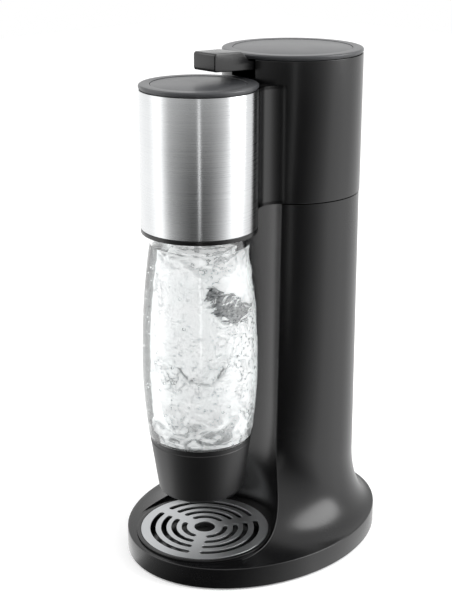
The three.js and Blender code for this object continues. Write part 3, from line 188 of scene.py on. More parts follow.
def camera_or_glass(tree):
    """1 for rays from the camera and rays through glass, and 0 for all others."""
    ray = add(tree, "LightPath").outputs
    return add(tree, "Math", {0: ray["Is Camera Ray"], 1: ray["Is Transmission Ray"]}, operation="MAXIMUM")


world = bpy.data.worlds.new("studio tent")
world.use_nodes = True
bpy.context.scene.world = world
sky = world.node_tree
sky.nodes.clear()
way = add(sky, "TexCoord").outputs["Generated"]
cloth = add(sky, "VectorMath", {
    0: bands_of(sky, way, ROOM_BANDS), 1: bands_of(sky, way, STRIP_BANDS),
}, operation="ADD")
height = add(sky, "SeparateXYZ", {"Vector": way}).outputs["Z"]
overhead = add(sky, "MapRange", {"Value": height, "From Min": ROOF_FROM, "From Max": ROOF_TO})
roof = (ROOF_LIGHT, ROOF_LIGHT, ROOF_LIGHT, 1)
tent = add(sky, "Mix", {"Factor": overhead, "A": cloth, "B": roof}, data_type="RGBA")
behind = add(sky, "Mix", {"Factor": camera_or_glass(sky), "A": tent, "B": WHITE}, data_type="RGBA")
light = add(sky, "Background", {"Color": behind})
add(sky, "OutputWorld", {"Surface": light})
print("room bands:", len(ROOM_BANDS))

# %% [markdown]
# Floor and lamps
#
# The floor is a square sheet of matt white card. It is lit like the object, and a little
# light of its own, which only the camera and glass see, lifts it to the white of the
# photograph without adding light to the machine. A shiny skin sees the tent's bands on the
# floor too, measured from the head's axis, so that they run on down the machine. Two large
# oval lamps stand where the tent is bright.

# %% Floor card and two soft lamps
FLOOR_SIZE = 6
FLOOR_GLOW = 0.25
LAMP_AIM = Vector((0, 0, 0.2))
LAMPS = {
    "lamp over the right side": {"place": (1.13, 0.98, 1.2), "width": 1.0, "height": 1.6, "power": 22},
    "lamp over the left side": {"place": (-1.0, -0.9, 1.4), "width": 1.0, "height": 1.0, "power": 5},
}

floor_mesh = bpy.data.meshes.new("floor")
half = FLOOR_SIZE / 2
floor_corners = [(-half, -half, 0), (half, -half, 0), (half, half, 0), (-half, half, 0)]
floor_mesh.from_pydata(floor_corners, [], [(0, 1, 2, 3)])
floor = placed("floor", floor_mesh)

card = bpy.data.materials.new("matt white card")
card.use_nodes = True
sheet = card.node_tree
sheet.nodes.clear()
position = add(sheet, "NewGeometry").outputs["Position"]
spot = add(sheet, "VectorMath", {0: position, 1: HEAD_CENTRE}, operation="SUBTRACT")
glow = add(sheet, "Math", {0: camera_or_glass(sheet), 1: FLOOR_GLOW}, operation="MULTIPLY")
paper = add(sheet, "BsdfDiffuse", {"Color": colour("#f2f2f2")})
shine = add(sheet, "Emission", {"Strength": glow})
lit_card = add(sheet, "AddShader", {0: paper, 1: shine})
distance = add(sheet, "VectorMath", {0: spot}, operation="LENGTH")
far = add(sheet, "MapRange", {
    "Value": distance, "From Min": STRIP_FROM, "From Max": STRIP_FROM + STRIP_FADE,
})
strip = add(sheet, "VectorMath", {0: bands_of(sheet, spot, STRIP_BANDS), 1: far}, operation="MULTIPLY")
room = add(sheet, "VectorMath", {0: bands_of(sheet, spot, ROOM_BANDS), 1: strip}, operation="ADD")
beyond = add(sheet, "Emission", {"Color": room})
mirrored_ray = add(sheet, "LightPath").outputs["Is Glossy Ray"]
floor_look = add(sheet, "MixShader", {0: mirrored_ray, 1: lit_card, 2: beyond})
add(sheet, "OutputMaterial", {"Surface": floor_look})
floor_mesh.materials.append(card)


def soft_lamp(name, place, width, height, power):
    """An oval area lamp that looks at the machine."""
    lamp = placed(name, bpy.data.lights.new(name, "AREA"))
    lamp.data.shape = "ELLIPSE"
    lamp.data.size = width
    lamp.data.size_y = height
    lamp.data.energy = power
    lamp.location = place
    lamp.rotation_euler = (LAMP_AIM - Vector(place)).to_track_quat("-Z", "Y").to_euler()


for name, settings in LAMPS.items():
    soft_lamp(name, **settings)
print("floor of", FLOOR_SIZE, "m,", len(LAMPS), "lamps")

# %% [markdown]
# Moulded plastics
#
# Most of the machine is ABS, injection moulded in a polished steel mould. Its skin is nearly
# black and semi-gloss, with a very fine orange peel that softens each reflection. The
# colour is hardly ever even: resin flows leave faint clouds, some 40 mm wide. The same
# recipe, with other numbers, gives the satin lids and cup, the plain inner mouldings, the
# white push rod, the rubber feet and the cylinder's coating. The grain is real at about
# 0.3 mm, which is too fine to show here, so it is drawn 0.7 mm wide.

# %% Moulded plastic and rubber
CLOUD_SIZE = 0.04
GRAIN_SIZE = 0.0007
POLISHED_RELIEF = 0.00001
SATIN_RELIEF = 0.00002
MATT_RELIEF = 0.00003
RUBBER_RELIEF = 0.00004
COATED_RELIEF = 0.00005


def surface_of(name):
    """A new material and its empty node tree."""
    made = bpy.data.materials.new(name)
    made.use_nodes = True
    made.node_tree.nodes.clear()
    return made, made.node_tree


def moulded(name, dark, light, ior, gloss_range, relief_depth):
    """Moulded skin: clouds in the colour, grain in the gloss and in the relief."""
    made, tree = surface_of(name)
    place = add(tree, "TexCoord").outputs["Object"]
    cloud = add(tree, "TexNoise", {"Vector": place, "Scale": 1 / CLOUD_SIZE, "Detail": 3})
    grain = add(tree, "TexNoise", {"Vector": place, "Scale": 1 / GRAIN_SIZE, "Detail": 2})
    tint = add(tree, "Mix", {"Factor": cloud, "A": colour(dark), "B": colour(light)}, data_type="RGBA")
    haze = add(tree, "Math", {0: cloud, 1: grain}, operation="MULTIPLY")
    gloss = add(tree, "MapRange", {
        "Value": haze, "From Max": 0.5, "To Min": gloss_range[0], "To Max": gloss_range[1],
    })
    relief = add(tree, "Bump", {"Distance": relief_depth, "Height": grain})
    shader = add(tree, "BsdfPrincipled", {
        "Base Color": tint, "Roughness": gloss, "IOR": ior, "Normal": relief,
    })
    add(tree, "OutputMaterial", {"Surface": shader})
    return made


# Name, darkest and lightest colour, refraction, range of gloss, depth of the grain
black_abs = moulded("ABS, moulded semi-gloss black", "#050506", "#0a0a0b", 1.5, (0.19, 0.29), POLISHED_RELIEF)
satin_abs = moulded("ABS, moulded satin black", "#0a0a0b", "#101011", 1.5, (0.36, 0.46), SATIN_RELIEF)
lid_abs = moulded("ABS, moulded satin charcoal", "#323335", "#3d3e41", 1.53, (0.3, 0.42), SATIN_RELIEF)
inner_abs = moulded("ABS, moulded matt grey-black", "#1b1c1d", "#242526", 1.53, (0.5, 0.65), MATT_RELIEF)
white_pom = moulded("acetal, moulded white", "#dcdcd8", "#ebebe8", 1.48, (0.35, 0.5), SATIN_RELIEF)
rubber = moulded("rubber, moulded black", "#171717", "#202020", 1.52, (0.75, 0.9), RUBBER_RELIEF)
print("moulded materials: 6")

# %% [markdown]
# Metals
#
# The head is a bent sheet of stainless steel, brushed round and round, so its scratches run
# level and each highlight is drawn out upright. Real scratches are 0.05 mm apart; they are
# drawn 0.6 mm apart so that they show. The grille is the same steel with a fine satin
# blasting. Inside are turned brass, zinc-plated screws and a painted gas cylinder.

# %% Brushed, satin, turned, plated and painted metal
SCRATCH_SPACING = 0.0006
SCRATCH_LENGTH = 0.15
BRUSHED_RELIEF = 0.0000015
LEAST_TONE = 0.2
PULL_TURN = 0.25


def metal(name, dark, light, gloss_range, relief_depth, stretch, pull=0.0):
    """A metal whose pattern is stretched along X, Y and Z; pull draws its highlights out."""
    made, tree = surface_of(name)
    place = add(tree, "TexCoord").outputs["Object"]
    drawn = add(tree, "VectorMath", {0: place, 1: stretch}, operation="MULTIPLY")
    lines = add(tree, "TexNoise", {"Vector": drawn, "Scale": 1, "Detail": 3})
    stains = add(tree, "TexNoise", {"Vector": place, "Scale": 1 / CLOUD_SIZE, "Detail": 2})
    tone = add(tree, "Math", {0: lines, 1: stains, 2: LEAST_TONE}, operation="MULTIPLY_ADD")
    tint = add(tree, "Mix", {"Factor": tone, "A": colour(dark), "B": colour(light)}, data_type="RGBA")
    gloss = add(tree, "MapRange", {"Value": lines, "To Min": gloss_range[0], "To Max": gloss_range[1]})
    relief = add(tree, "Bump", {"Distance": relief_depth, "Height": lines})
    along = add(tree, "Tangent", direction_type="RADIAL", axis="Z")
    shader = add(tree, "BsdfPrincipled", {
        "Base Color": tint, "Roughness": gloss, "Metallic": 1.0,
        "Normal": relief, "Tangent": along,
        "Anisotropic": pull, "Anisotropic Rotation": PULL_TURN,
    })
    add(tree, "OutputMaterial", {"Surface": shader})
    return made


EVEN_GRAIN = (1 / GRAIN_SIZE, 1 / GRAIN_SIZE, 1 / GRAIN_SIZE)
TURNED_RINGS = (0, 0, 1 / SCRATCH_SPACING)
ROUND_THE_HEAD = (1 / SCRATCH_LENGTH, 1 / SCRATCH_LENGTH, 1 / SCRATCH_SPACING)
# Name, darkest and lightest colour, range of gloss, depth and stretch of the pattern, pull
brushed_steel = metal(
    "stainless steel, brushed round", "#c0c2c4", "#e6e7e7", (0.25, 0.31), BRUSHED_RELIEF, ROUND_THE_HEAD, 1.0
)
grille_steel = metal(
    "stainless steel, satin blasted", "#b4b6b8", "#d2d4d5", (0.32, 0.46), POLISHED_RELIEF, EVEN_GRAIN
)
zinc_steel = metal("steel, zinc plated", "#9fa2a6", "#c3c6c9", (0.25, 0.4), POLISHED_RELIEF, EVEN_GRAIN)
turned_brass = metal("brass, turned", "#a5813f", "#c9a561", (0.22, 0.36), POLISHED_RELIEF, TURNED_RINGS)
painted_steel = moulded("steel, powder coated grey", "#5d6468", "#6b7276", 1.5, (0.4, 0.55), COATED_RELIEF)
print("metals: 4, and 1 coated")

# %% Each CAD node takes the finish of its slot
SLOT_FINISH = {
    "black_plastic": black_abs, "lid_plastic": lid_abs, "inner_plastic": inner_abs,
    "white_plastic": white_pom, "rubber": rubber, "brushed_steel": brushed_steel,
    "grille_steel": grille_steel, "plain_steel": zinc_steel, "brass": turned_brass,
    "painted_metal": painted_steel, "clear_plastic": black_abs,
}
for subpart in frame["record"]["subparts"]:
    mesh = frame["nodes"][subpart["node"]].data
    mesh.materials.clear()
    mesh.materials.append(SLOT_FINISH[subpart["material_slot"]])

# %% [markdown]
# Turned pieces
#
# The tray, the lids, the bottle and its cup are all round about an upright axis, so each is
# a profile that is turned, as a potter turns a bowl. A moulded edge is never sharp: every
# corner of a profile gets a small radius first, and that radius catches the light as a thin
# bright line. Smooth shading does the rest, with a break where two faces meet at an angle.

# %% Helpers for outlines and turned pieces
TURN_STEPS = 128
BREAK_ANGLE = math.radians(35)
SOFT_FROM = math.radians(14)
EDGE_STEPS = 3
ROUND_SHARE = 0.45
SAME_POINT = 0.000002


def arc(x, y, radius, start, end, steps, rise=None):
    """Points of an arc about (x, y), from one angle to another; rise makes it part of an oval."""
    rise = radius if rise is None else rise
    turns = [start + (end - start) * i / steps for i in range(steps + 1)]
    return [(x + radius * math.cos(turn), y + rise * math.sin(turn)) for turn in turns]


def soften(outline, radius):
    """Round each real corner of a closed outline, using less than half of a short side."""
    result = []
    for i, corner in enumerate(Vector(p) for p in outline):
        before = Vector(outline[i - 1]) - corner
        after = Vector(outline[(i + 1) % len(outline)]) - corner
        if corner.x == 0 or math.pi - before.angle(after, math.pi) < SOFT_FROM:
            result.append(corner)
            continue
        start = before * min(radius / before.length, ROUND_SHARE)
        end = after * min(radius / after.length, ROUND_SHARE)
        for step in range(EDGE_STEPS + 1):
            share = step / EDGE_STEPS
            result.append(corner + start * (1 - share) ** 2 + end * share ** 2)
    return result


def smooth(mesh):
    """Smooth shading that breaks at real edges."""
    mesh.shade_smooth()
    mesh.set_sharp_from_angle(angle=BREAK_ANGLE)
    return mesh


def piece_from(name, points, faces):
    """An object from points and faces, with its doubled points joined."""
    mesh = bpy.data.meshes.new(name)
    mesh.from_pydata(points, [], faces)
    shape = bmesh.new()
    shape.from_mesh(mesh)
    bmesh.ops.remove_doubles(shape, verts=shape.verts, dist=SAME_POINT)
    bmesh.ops.recalc_face_normals(shape, faces=shape.faces)
    shape.to_mesh(mesh)
    shape.free()
    return placed(name, smooth(mesh))


def turned(name, outline, centre_y, steps=TURN_STEPS):
    """Turn a closed outline of (radius, z) about the upright axis at y = centre_y."""
    turns = [FULL_TURN * i / steps for i in range(steps)]
    points = [
        (radius * math.cos(turn), centre_y + radius * math.sin(turn), z)
        for turn in turns for radius, z in outline
    ]
    count = len(outline)
    faces = []
    for i in range(steps):
        here, there = i * count, (i + 1) % steps * count
        for j in range(count):
            after = (j + 1) % count
            if outline[j][0] == 0 and outline[after][0] == 0:
                continue
            faces.append((here + j, there + j, there + after, here + after))
    return piece_from(name, points, faces)


def dress(piece, body, node, finish):
    """The piece takes a finish, rides on a body and stands for a CAD node."""
    piece.data.materials.clear()
    piece.data.materials.append(finish)
    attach(piece, body)
    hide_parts(node)
    print(piece.name, "has", len(piece.data.polygons), "faces")


print("turned pieces get", TURN_STEPS, "steps and their corners", EDGE_STEPS)

# %% [markdown]
# Cutting one solid with another
#
# Where a real mould has a core, the model has a cutter. Blender's Boolean modifier takes it
# away, or adds a boss, and the result is kept as a plain mesh.

# %% Cut, join and keep
def worked_out(thing):
    """The mesh that an object's modifiers or its curve give."""
    bpy.context.view_layer.update()
    return bpy.data.meshes.new_from_object(thing.evaluated_get(bpy.context.evaluated_depsgraph_get()))


def keep_shape(piece):
    """The piece's modifiers give way to the shape that they made."""
    shape = worked_out(piece)
    piece.modifiers.clear()
    piece.data = smooth(shape)


def combine(piece, other, operation):
    """Cut a piece with another solid, or join them, and keep the result."""
    step = piece.modifiers.new("combine", "BOOLEAN")
    step.operation = operation
    step.solver = "MANIFOLD"
    step.object = other
    keep_shape(piece)
    bpy.data.objects.remove(other)


def upright(name, outline, low, high):
    """A block with a flat outline, from low to high."""
    count = len(outline)
    points = [(x, y, z) for z in (low, high) for x, y in outline]
    sides = [(i, (i + 1) % count, (i + 1) % count + count, i + count) for i in range(count)]
    return piece_from(name, points, [tuple(range(count)), tuple(range(count, 2 * count)), *sides])


def lofted(name, rings):
    """A closed solid through rings of points that all have the same number."""
    count = len(rings[0])
    points = [point for ring in rings for point in ring]
    faces = [tuple(range(count)), tuple(range(len(points) - count, len(points)))]
    for level in range(len(rings) - 1):
        for i in range(count):
            after = (i + 1) % count
            low, high = level * count, (level + 1) * count
            faces.append((low + i, low + after, high + after, high + i))
    return piece_from(name, points, faces)


print("shading breaks at", round(math.degrees(BREAK_ANGLE)), "degrees")

# %% [markdown]
# Foot and column
#
# One moulding: an oval foot whose flare sweeps up like a trumpet into the round column, cut
# in front by the bottle's bay and by the tray's well. A loft through many rings gives the
# sweep, because each upright section of it is a quarter of an ellipse. The bay and the well
# are then cut with turned solids, as the core of the mould forms them.

# %% Sizes of the foot, the column and the bay, from the CAD
GAP = 0.0003
WALL = 0.0026
OVERRUN = 0.006
FOOT_LENGTH = 0.2416
FOOT_WIDTH = 0.1902
SKIRT_BOTTOM_Z = 0.0015
RIM_Z = 0.0192
RIM_ROUND = 0.0009
RIM_STEPS = 4
FLARE_HEIGHT = 0.038
FLARE_REACH_SHARE = 0.5
LOWER_RADIUS = 0.0574
COLUMN_Y = 0.0423
COLUMN_LEAN = 0.0024
SEAM_Z = 0.304
SEAM_OPEN = 0.0009
TRAY_Y = -0.0585
BAY_FOOT_RADIUS = 0.0626
BAY_TOP_RADIUS = 0.0645
BAY_FLOOR_Z = 0.0197
SEAT_RADIUS = 0.0583
SEAT_Z = 0.0179
WELL_RADIUS = 0.0543
WELL_Z = 0.0087
BODY_STEPS = 240
FLARE_STEPS = 36


def column_y(z):
    """The column's axis leans back a little towards the table."""
    return COLUMN_Y + COLUMN_LEAN * (1 - z / SEAM_Z)


def rim_point(turn, inset):
    """A point of the oval rim, seen from above."""
    across, along = FOOT_WIDTH / 2 - inset, FOOT_LENGTH / 2 - inset
    return Vector((across * math.cos(turn), along * math.sin(turn)))


def column_point(rim, z, inset):
    """The point of the round column that lies the same way as a point of the rim."""
    bearing = math.atan2(rim.y - column_y(0), rim.x)
    radius = LOWER_RADIUS - inset
    return Vector((radius * math.cos(bearing), column_y(z) + radius * math.sin(bearing)))


def flare_point(turn, sweep, inset):
    """A quarter ellipse from the column's side down and out to the rim."""
    rim = rim_point(turn, RIM_ROUND + inset)
    reach = (rim - column_point(rim, RIM_Z, inset)).length
    height = FLARE_HEIGHT + FLARE_REACH_SHARE * reach
    z = RIM_Z - inset + height * (1 - math.sin(sweep))
    plan = column_point(rim, z, inset).lerp(rim, 1 - math.cos(sweep))
    return (plan.x, plan.y, z)


def rim_edge_point(turn, step, inset):
    """The small round between the upright skirt and the flare."""
    bend = RIGHT_ANGLE * step / RIM_STEPS
    plan = rim_point(turn, inset + RIM_ROUND * (1 - math.cos(bend)))
    return (plan.x, plan.y, RIM_Z - inset - RIM_ROUND * (1 - math.sin(bend)))


def foot_and_column(name, inset, bottom_z, top_z):
    """The solid outline of foot and column, or with an inset the hollow inside it."""
    turns = [FULL_TURN * i / BODY_STEPS for i in range(BODY_STEPS)]
    skirt = [[(*rim_point(turn, inset), bottom_z) for turn in turns]]
    edge = [[rim_edge_point(turn, step, inset) for turn in turns] for step in range(RIM_STEPS)]
    sweeps = [RIGHT_ANGLE * (1 - i / FLARE_STEPS) for i in range(FLARE_STEPS + 1)]
    flare = [[flare_point(turn, sweep, inset) for turn in turns] for sweep in sweeps]
    rims = [rim_point(turn, RIM_ROUND + inset) for turn in turns]
    top = [[(*column_point(rim, top_z, inset), top_z) for rim in rims]]
    return lofted(name, skirt + edge + flare + top)


def bay_cutter(margin, floor_z):
    """The bottle's bay, or with a margin the wall behind it."""
    low, high = BAY_FOOT_RADIUS + margin, BAY_TOP_RADIUS + margin
    top_z = SEAM_Z + OVERRUN
    return turned("bay", [(0, floor_z), (low, floor_z), (high, top_z), (0, top_z)], TRAY_Y, BODY_STEPS)


def well_cutter(margin):
    """The stepped well that the drip tray hangs in."""
    seat, well = SEAT_RADIUS + margin, WELL_RADIUS + margin
    seat_z, well_z = SEAT_Z - margin, WELL_Z - margin
    top_z = RIM_Z + OVERRUN
    outline = [(0, well_z), (well, well_z), (well, seat_z), (seat, seat_z), (seat, top_z), (0, top_z)]
    return turned("well", outline, TRAY_Y, BODY_STEPS)


def body_shell(name):
    """Foot and column with walls, before the rear cover's opening is cut."""
    shell = foot_and_column(name, 0, SKIRT_BOTTOM_Z, SEAM_Z - SEAM_OPEN)
    combine(shell, bay_cutter(0, BAY_FLOOR_Z), "DIFFERENCE")
    combine(shell, well_cutter(0), "DIFFERENCE")
    hollow = foot_and_column("hollow", WALL, SKIRT_BOTTOM_Z - OVERRUN, SEAM_Z + OVERRUN)
    combine(hollow, bay_cutter(WALL, BAY_FLOOR_Z - WALL), "DIFFERENCE")
    combine(hollow, well_cutter(WALL), "DIFFERENCE")
    combine(shell, hollow, "DIFFERENCE")
    return shell


print("foot of", FOOT_WIDTH, "by", FOOT_LENGTH, "m, bay of", 2 * BAY_TOP_RADIUS, "m")

# %% The rear cover's outline, seen from behind
COVER_WIDTH = 0.074
COVER_BOTTOM_Z = 0.026
COVER_TOP_Z = 0.298
COVER_CORNER = 0.008
COVER_FRONT_Y = 0.062
CORNER_STEPS = 10


def cover_block(margin):
    """A block through the column's back, with round corners."""
    half, corner = COVER_WIDTH / 2 - margin, COVER_CORNER - margin
    low, high = COVER_BOTTOM_Z + margin, COVER_TOP_Z - margin
    centres = [(half - corner, low + corner), (half - corner, high - corner)]
    centres += [(corner - half, high - corner), (corner - half, low + corner)]
    outline = []
    for quarter, (x, z) in enumerate(centres):
        start = RIGHT_ANGLE * (quarter - 1)
        outline += arc(x, z, corner, start, start + RIGHT_ANGLE, CORNER_STEPS)
    rings = [[(x, y, z) for x, z in outline] for y in (COVER_FRONT_Y, FOOT_LENGTH / 2 + OVERRUN)]
    return lofted("cover block", rings)


body_piece = body_shell("body_moulding")
combine(body_piece, cover_block(0), "DIFFERENCE")
dress(body_piece, "machine_frame", "lower_body", black_abs)
cover_piece = body_shell("rear_cover_panel")
combine(cover_piece, cover_block(GAP), "INTERSECT")
dress(cover_piece, "cover", "rear_cover", black_abs)

# %% [markdown]
# Bead along the bay
#
# Where the bay cuts the column, the mould's two steel faces meet, and the edge they leave is
# rounded to 0.4 mm. It shows as one long thin light line. The edge's own points are picked
# out of the cut mesh, because they are the ones that lie on the bay's cone.

# %% Bead on both edges of the bay
BEAD_RADIUS = 0.0004
BEAD_END_GAP = 0.001
BEAD_LOW_Z = BAY_FLOOR_Z + BEAD_RADIUS
BEAD_TOP_Z = SEAM_Z - BEAD_END_GAP


def bay_radius(z):
    """Radius of the bay's cone at a height."""
    share = (z - BAY_FLOOR_Z) / (SEAM_Z + OVERRUN - BAY_FLOOR_Z)
    return BAY_FOOT_RADIUS + share * (BAY_TOP_RADIUS - BAY_FOOT_RADIUS)


def edge_points(side):
    """Points of the bay's right edge (side 1) or left edge (side -1), from the foot upwards."""
    near_bay = []
    for point in [vertex.co.copy() for vertex in body_piece.data.vertices]:
        off_cone = abs(math.hypot(point.x, point.y - TRAY_Y) - bay_radius(point.z))
        if point.x * side > 0 and BEAD_LOW_Z < point.z < BEAD_TOP_Z and off_cone < BEAD_RADIUS / 4:
            near_bay.append(point)
    return sorted(near_bay, key=lambda point: point.z)


def wire(name, points, radius):
    """A round wire through points, as a mesh."""
    path = bpy.data.curves.new(name, "CURVE")
    path.dimensions = "3D"
    path.bevel_depth = radius
    path.bevel_resolution = 2
    path.use_fill_caps = True
    line = path.splines.new("POLY")
    line.points.add(len(points) - 1)
    for place, point in zip(line.points, points):
        place.co = (*point, 1)
    drawn = placed(name, path)
    mesh = worked_out(drawn)
    bpy.data.objects.remove(drawn)
    mesh.shade_smooth()
    return placed(name, mesh)


for label, side in (("right", 1), ("left", -1)):
    edge = edge_points(side)
    bead = wire("bay_bead_" + label, edge, BEAD_RADIUS)
    bead.data.materials.append(black_abs)
    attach(bead, "machine_frame")
    print(bead.name, "follows", len(edge), "points")

# %% [markdown]
# Upper housing
#
# The column goes on upwards, a hair wider, and a waist joins it to the drum of the head. The
# two sides of the waist are hollow arcs that touch both circles. The housing is built as a
# moulder would describe it: two round walls, two curved side walls, a roof and a floor. The
# column's wall has a window in front, where the lever comes through.

# %% Sizes of the head and the upper housing, from the CAD
UPPER_RADIUS = 0.0579
COLUMN_TOP_Z = 0.4174
HEAD_RADIUS = 0.0465
HEAD_Y = -0.0625
HEAD_BOTTOM_Z = 0.2903
HEAD_TOP_Z = 0.399
DRUM_RADIUS = 0.0452
NECK_RADIUS = 0.02
LID_HEIGHT = 0.0039
LEVER_WIDTH = 0.024
LEVER_ROOM = 0.0011
EDGE_ROUND = 0.0004
ARC_STEPS = 48


def neck_centre():
    """Centre of the waist's hollow arc, and the way from column and head to it."""
    from_column = UPPER_RADIUS + NECK_RADIUS
    from_head = HEAD_RADIUS + NECK_RADIUS
    distance = COLUMN_Y - HEAD_Y
    along = (distance ** 2 + from_column ** 2 - from_head ** 2) / (2 * distance)
    x, y = math.sqrt(from_column ** 2 - along ** 2), COLUMN_Y - along
    return x, y, math.atan2(y - COLUMN_Y, x), math.atan2(y - HEAD_Y, x)


def waist_side(inset):
    """The right side of the waist from head to column, seen from above."""
    x, y, to_column, to_head = neck_centre()
    return arc(x, y, NECK_RADIUS + inset, math.pi + to_head, math.pi + to_column, ARC_STEPS)


def mirrored(outline):
    """The same outline on the left."""
    return [(-x, y) for x, y in reversed(outline)]


def join(name, pieces):
    """Several solids kept in one piece, side by side."""
    shape = bmesh.new()
    for piece in pieces:
        shape.from_mesh(piece.data)
        bpy.data.objects.remove(piece)
    mesh = bpy.data.meshes.new(name)
    shape.to_mesh(mesh)
    shape.free()
    return placed(name, smooth(mesh))


def round_wall(name, radius, wall, low, high, centre_y):
    """A round wall with softened edges."""
    outline = [(radius - wall, low), (radius, low), (radius, high), (radius - wall, high)]
    return turned(name, soften(outline, EDGE_ROUND), centre_y)


def lever_window(low, high):
    """Cutter for the lever's way through the column's front."""
    half = LEVER_WIDTH / 2 + LEVER_ROOM
    corners = [(-half, HEAD_Y), (half, HEAD_Y), (half, COLUMN_Y), (-half, COLUMN_Y)]
    return upright("window", corners, low, high)


side, inner_side = waist_side(0), waist_side(WALL)
full_waist = side + mirrored(side)
column_wall = round_wall("column wall", UPPER_RADIUS, WALL, SEAM_Z, COLUMN_TOP_Z, COLUMN_Y)
combine(column_wall, lever_window(HEAD_TOP_Z + LID_HEIGHT, COLUMN_TOP_Z + OVERRUN), "DIFFERENCE")
housing_piece = join("upper_housing_moulding", [
    column_wall,
    round_wall("drum wall", DRUM_RADIUS, WALL, HEAD_BOTTOM_Z, HEAD_TOP_Z, HEAD_Y),
    upright("right side", side + inner_side[::-1], SEAM_Z, HEAD_TOP_Z),
    upright("left side", mirrored(side) + mirrored(inner_side)[::-1], SEAM_Z, HEAD_TOP_Z),
    upright("roof", full_waist, HEAD_TOP_Z - WALL, HEAD_TOP_Z),
    upright("waist floor", full_waist, SEAM_Z, SEAM_Z + WALL),
])
dress(housing_piece, "machine_frame", "upper_housing", black_abs)

# %% [markdown]
# Steel sleeve and bottom ring
#
# The sleeve is sheet steel 1 mm thick, rolled round the drum and open at the back, where the
# waist is. Its cut edges are rubbed down, so they get a tiny bevel. Below it a black ring
# closes the head.

# %% Sleeve and ring
SLEEVE_WALL = 0.001
SLEEVE_BEVEL = 0.0002
RING_LOW_Z = 0.2866
RING_HIGH_Z = 0.29
RING_RADIUS = 0.0466
RING_WIDTH = 0.0044


def bevel(piece, width, segments=2):
    """Break the sharp edges of a piece and keep the result."""
    step = piece.modifiers.new("bevel", "BEVEL")
    step.width = width
    step.segments = segments
    step.limit_method = "ANGLE"
    step.angle_limit = BREAK_ANGLE
    keep_shape(piece)


touch = neck_centre()[3] - GAP / HEAD_RADIUS
left, right = math.pi - touch, FULL_TURN + touch
outside = arc(0, HEAD_Y, HEAD_RADIUS, left, right, TURN_STEPS)
inside = arc(0, HEAD_Y, HEAD_RADIUS - SLEEVE_WALL, right, left, TURN_STEPS)
sleeve_piece = upright("steel_sleeve", outside + inside, HEAD_BOTTOM_Z, HEAD_TOP_Z)
bevel(sleeve_piece, SLEEVE_BEVEL)
dress(sleeve_piece, "machine_frame", "head_sleeve", brushed_steel)
ring_piece = round_wall("bottom_ring", RING_RADIUS, RING_WIDTH, RING_LOW_Z, RING_HIGH_Z, HEAD_Y)
dress(ring_piece, "machine_frame", "head_ring", black_abs)

# %% [markdown]
# Lids
#
# Both lids are alike: a satin rim whose outer edge is rounded like a coin, and a disc that
# is laid in with a hairline groove round it. The groove reads as one thin dark line, and so
# does the shadow groove under the rim. The column's lid has the same window for the lever
# in its spigot.

# %% Rims and discs
LID_RIM_WIDTH = 0.0092
LID_ROUND_IN = 0.0017
LID_ROUND_DOWN = 0.0014
LID_GROOVE = 0.0004
LID_SHADOW_DEPTH = 0.0012
LID_SHADOW_HEIGHT = 0.0014
LID_DISC_HEIGHT = 0.0016
LID_DISC_DROP = 0.0003
LID_LEDGE = 0.004
LID_SPIGOT_HEIGHT = 0.003
LID_SPIGOT_WALL = 0.002
LID_ROUND_STEPS = 8


def lid_rim(name, radius, spigot_radius, seat_z, centre_y):
    """Rim of a lid with a spigot below and a ledge for its disc."""
    low, high = seat_z + GAP, seat_z + GAP + LID_HEIGHT
    spigot_low, spigot_inside = seat_z - LID_SPIGOT_HEIGHT, spigot_radius - LID_SPIGOT_WALL
    shadow_high, shadow_inside = low + LID_SHADOW_HEIGHT, radius - LID_SHADOW_DEPTH
    disc_radius = radius - LID_RIM_WIDTH
    ledge_z, ledge_inside = high - LID_DISC_DROP - LID_DISC_HEIGHT - GAP, disc_radius - LID_LEDGE
    outline = [
        (ledge_inside, low), (spigot_inside, low), (spigot_inside, spigot_low), (spigot_radius, spigot_low),
        (spigot_radius, low), (shadow_inside, low), (shadow_inside, shadow_high), (radius, shadow_high),
    ]
    round_x, round_z = radius - LID_ROUND_IN, high - LID_ROUND_DOWN
    outline += arc(round_x, round_z, LID_ROUND_IN, 0, RIGHT_ANGLE, LID_ROUND_STEPS, LID_ROUND_DOWN)
    groove = disc_radius + LID_GROOVE
    outline += [(groove, high), (groove, ledge_z), (ledge_inside, ledge_z)]
    return turned(name, soften(outline, EDGE_ROUND / 2), centre_y)


def lid_disc(name, radius, seat_z, centre_y):
    """Disc laid into the rim."""
    high = seat_z + GAP + LID_HEIGHT - LID_DISC_DROP
    edge = radius - LID_RIM_WIDTH
    outline = [(0, high - LID_DISC_HEIGHT), (edge, high - LID_DISC_HEIGHT), (edge, high), (0, high)]
    return turned(name, soften(outline, EDGE_ROUND / 2), centre_y)


head_rim = lid_rim("head_lid_rim_moulding", HEAD_RADIUS, DRUM_RADIUS - WALL - GAP, HEAD_TOP_Z, HEAD_Y)
dress(head_rim, "machine_frame", "head_lid_rim", lid_abs)
head_disc = lid_disc("head_lid_inlay", HEAD_RADIUS, HEAD_TOP_Z, HEAD_Y)
dress(head_disc, "machine_frame", "head_lid_disc", lid_abs)
spigot_radius = UPPER_RADIUS - WALL - GAP
column_rim = lid_rim("column_lid_rim_moulding", UPPER_RADIUS, spigot_radius, COLUMN_TOP_Z, COLUMN_Y)
window_low_z = COLUMN_TOP_Z - LID_SPIGOT_HEIGHT - OVERRUN
combine(column_rim, lever_window(window_low_z, COLUMN_TOP_Z + GAP), "DIFFERENCE")
dress(column_rim, "machine_frame", "column_lid_rim", lid_abs)
column_disc = lid_disc("column_lid_inlay", UPPER_RADIUS, COLUMN_TOP_Z, COLUMN_Y)
dress(column_disc, "machine_frame", "column_lid_disc", lid_abs)

